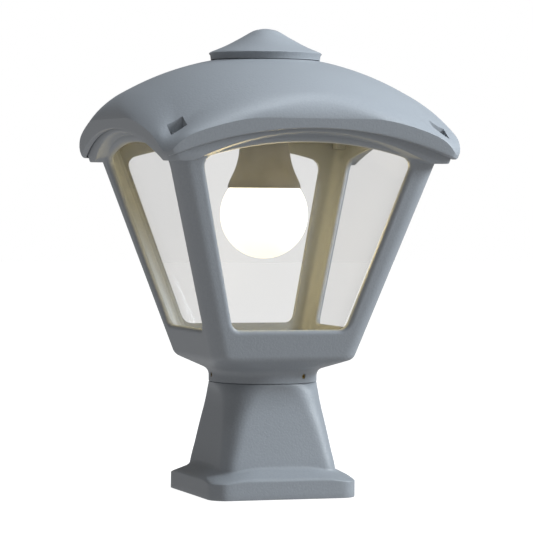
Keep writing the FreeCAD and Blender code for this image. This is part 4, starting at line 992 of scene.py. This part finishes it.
stage = {"size": 12.0, "depth": -0.0005, "above": 0.21, "below": 0.56, "bounceFrom": -0.4, "bounceTo": 0.15,
         "floor": (0.25, 0.25, 0.25), "floorDark": (0.24, 0.24, 0.24), "floorLight": (0.26, 0.26, 0.26),
         "floorRough": 0.85, "floorGlow": 0.97, "lampHeight": 0.18}
shot = {"yaw": -19.0, "distance": 2.0, "height": 0.207, "aimUp": 0.1544, "aimRight": 0.00205, "lens": 197.8,
        "sensor": 36.0, "roll": 0.5}
lights = {
    "keySoftbox": {"power": 36.0, "size": 0.6, "place": (1.3, -0.65, 0.85), "color": (0.88, 0.95, 1.0)},
    "topSoftbox": {"power": 12.0, "size": 0.8, "place": (0.1, -0.3, 1.5), "color": (0.87, 0.94, 1.0)},
}

deselectAll()
bpy.ops.mesh.primitive_plane_add(size=stage["size"], location=(0, 0, stage["depth"]))
floor = bpy.context.object
floor.name = "studio_floor"
bpy.ops.object.transform_apply(location=True)
paper = newMaterial("paleFloor", stage["floor"], stage["floorRough"])
paperShader = paper.node_tree.nodes["Principled BSDF"]
paperShader.inputs["Emission Color"].default_value = (1, 1, 1, 1)
paperShader.inputs["Emission Strength"].default_value = stage["floorGlow"]
addMottle(paper, stage["floorDark"], stage["floorLight"], 3)
floor.data.materials.append(paper)
floor.visible_diffuse = floor.visible_glossy = False   # its glow lights nothing

scene = bpy.context.scene
scene.view_settings.view_transform = "Standard"
world = bpy.data.worlds.new("studio")
world.use_nodes = True
sky = world.node_tree.nodes["Background"]
sky.inputs["Color"].default_value = (1, 1, 1, 1)
path = world.node_tree.nodes.new("ShaderNodeLightPath")
way = world.node_tree.nodes.new("ShaderNodeTexCoord")
parts = world.node_tree.nodes.new("ShaderNodeSeparateXYZ")
bounce = world.node_tree.nodes.new("ShaderNodeMapRange")   # more light from below, as off a pale floor
bounce.inputs["From Min"].default_value = stage["bounceFrom"]
bounce.inputs["From Max"].default_value = stage["bounceTo"]
bounce.inputs["To Min"].default_value = stage["below"]
bounce.inputs["To Max"].default_value = stage["above"]
level = world.node_tree.nodes.new("ShaderNodeMapRange")    # white where it is seen directly
level.inputs["To Max"].default_value = 1.0
for start, end in ((way.outputs["Generated"], parts.inputs["Vector"]),
                   (parts.outputs["Z"], bounce.inputs["Value"]),
                   (bounce.outputs["Result"], level.inputs["To Min"]),
                   (path.outputs["Is Camera Ray"], level.inputs["Value"]),
                   (level.outputs["Result"], sky.inputs["Strength"])):
    world.node_tree.links.new(start, end)
scene.world = world


def addObject(name, data):
    placed = bpy.data.objects.new(name, data)
    scene.collection.objects.link(placed)
    return placed


for name, facts in lights.items():
    light = bpy.data.lights.new(name, "AREA")
    light.energy, light.size, light.color = facts["power"], facts["size"], facts["color"]
    softbox = addObject(name, light)
    softbox.location = facts["place"]
    toLantern = Vector((0, 0, stage["lampHeight"])) - softbox.location
    softbox.rotation_euler = toLantern.to_track_quat("-Z", "Y").to_euler()

# a small light inside the globe, which goes where the lamp goes
glowLight = bpy.data.lights.new("lampGlow", "POINT")
glowLight.energy, glowLight.color = lamp["glow"], lamp["glowColor"]
glowLight.shadow_soft_size = lamp["glowSize"] * mm
glowSource = addObject("lampGlow", glowLight)
glowSource.location = (0, 0, lamp["centre"] * mm)
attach(glowSource, "bulb")

cameraData = bpy.data.cameras.new("camera")
camera = addObject("camera", cameraData)
cameraData.lens, cameraData.sensor_width = shot["lens"], shot["sensor"]
yaw = math.radians(shot["yaw"])
camera.location = (shot["distance"] * math.sin(yaw), -shot["distance"] * math.cos(yaw), shot["height"])
aim = Vector((shot["aimRight"] * math.cos(yaw), shot["aimRight"] * math.sin(yaw), shot["aimUp"]))
look = (aim - camera.location).to_track_quat("-Z", "Y").to_matrix().to_4x4()
camera.rotation_euler = (look @ Matrix.Rotation(math.radians(shot["roll"]), 4, "Z")).to_euler()
scene.camera = camera
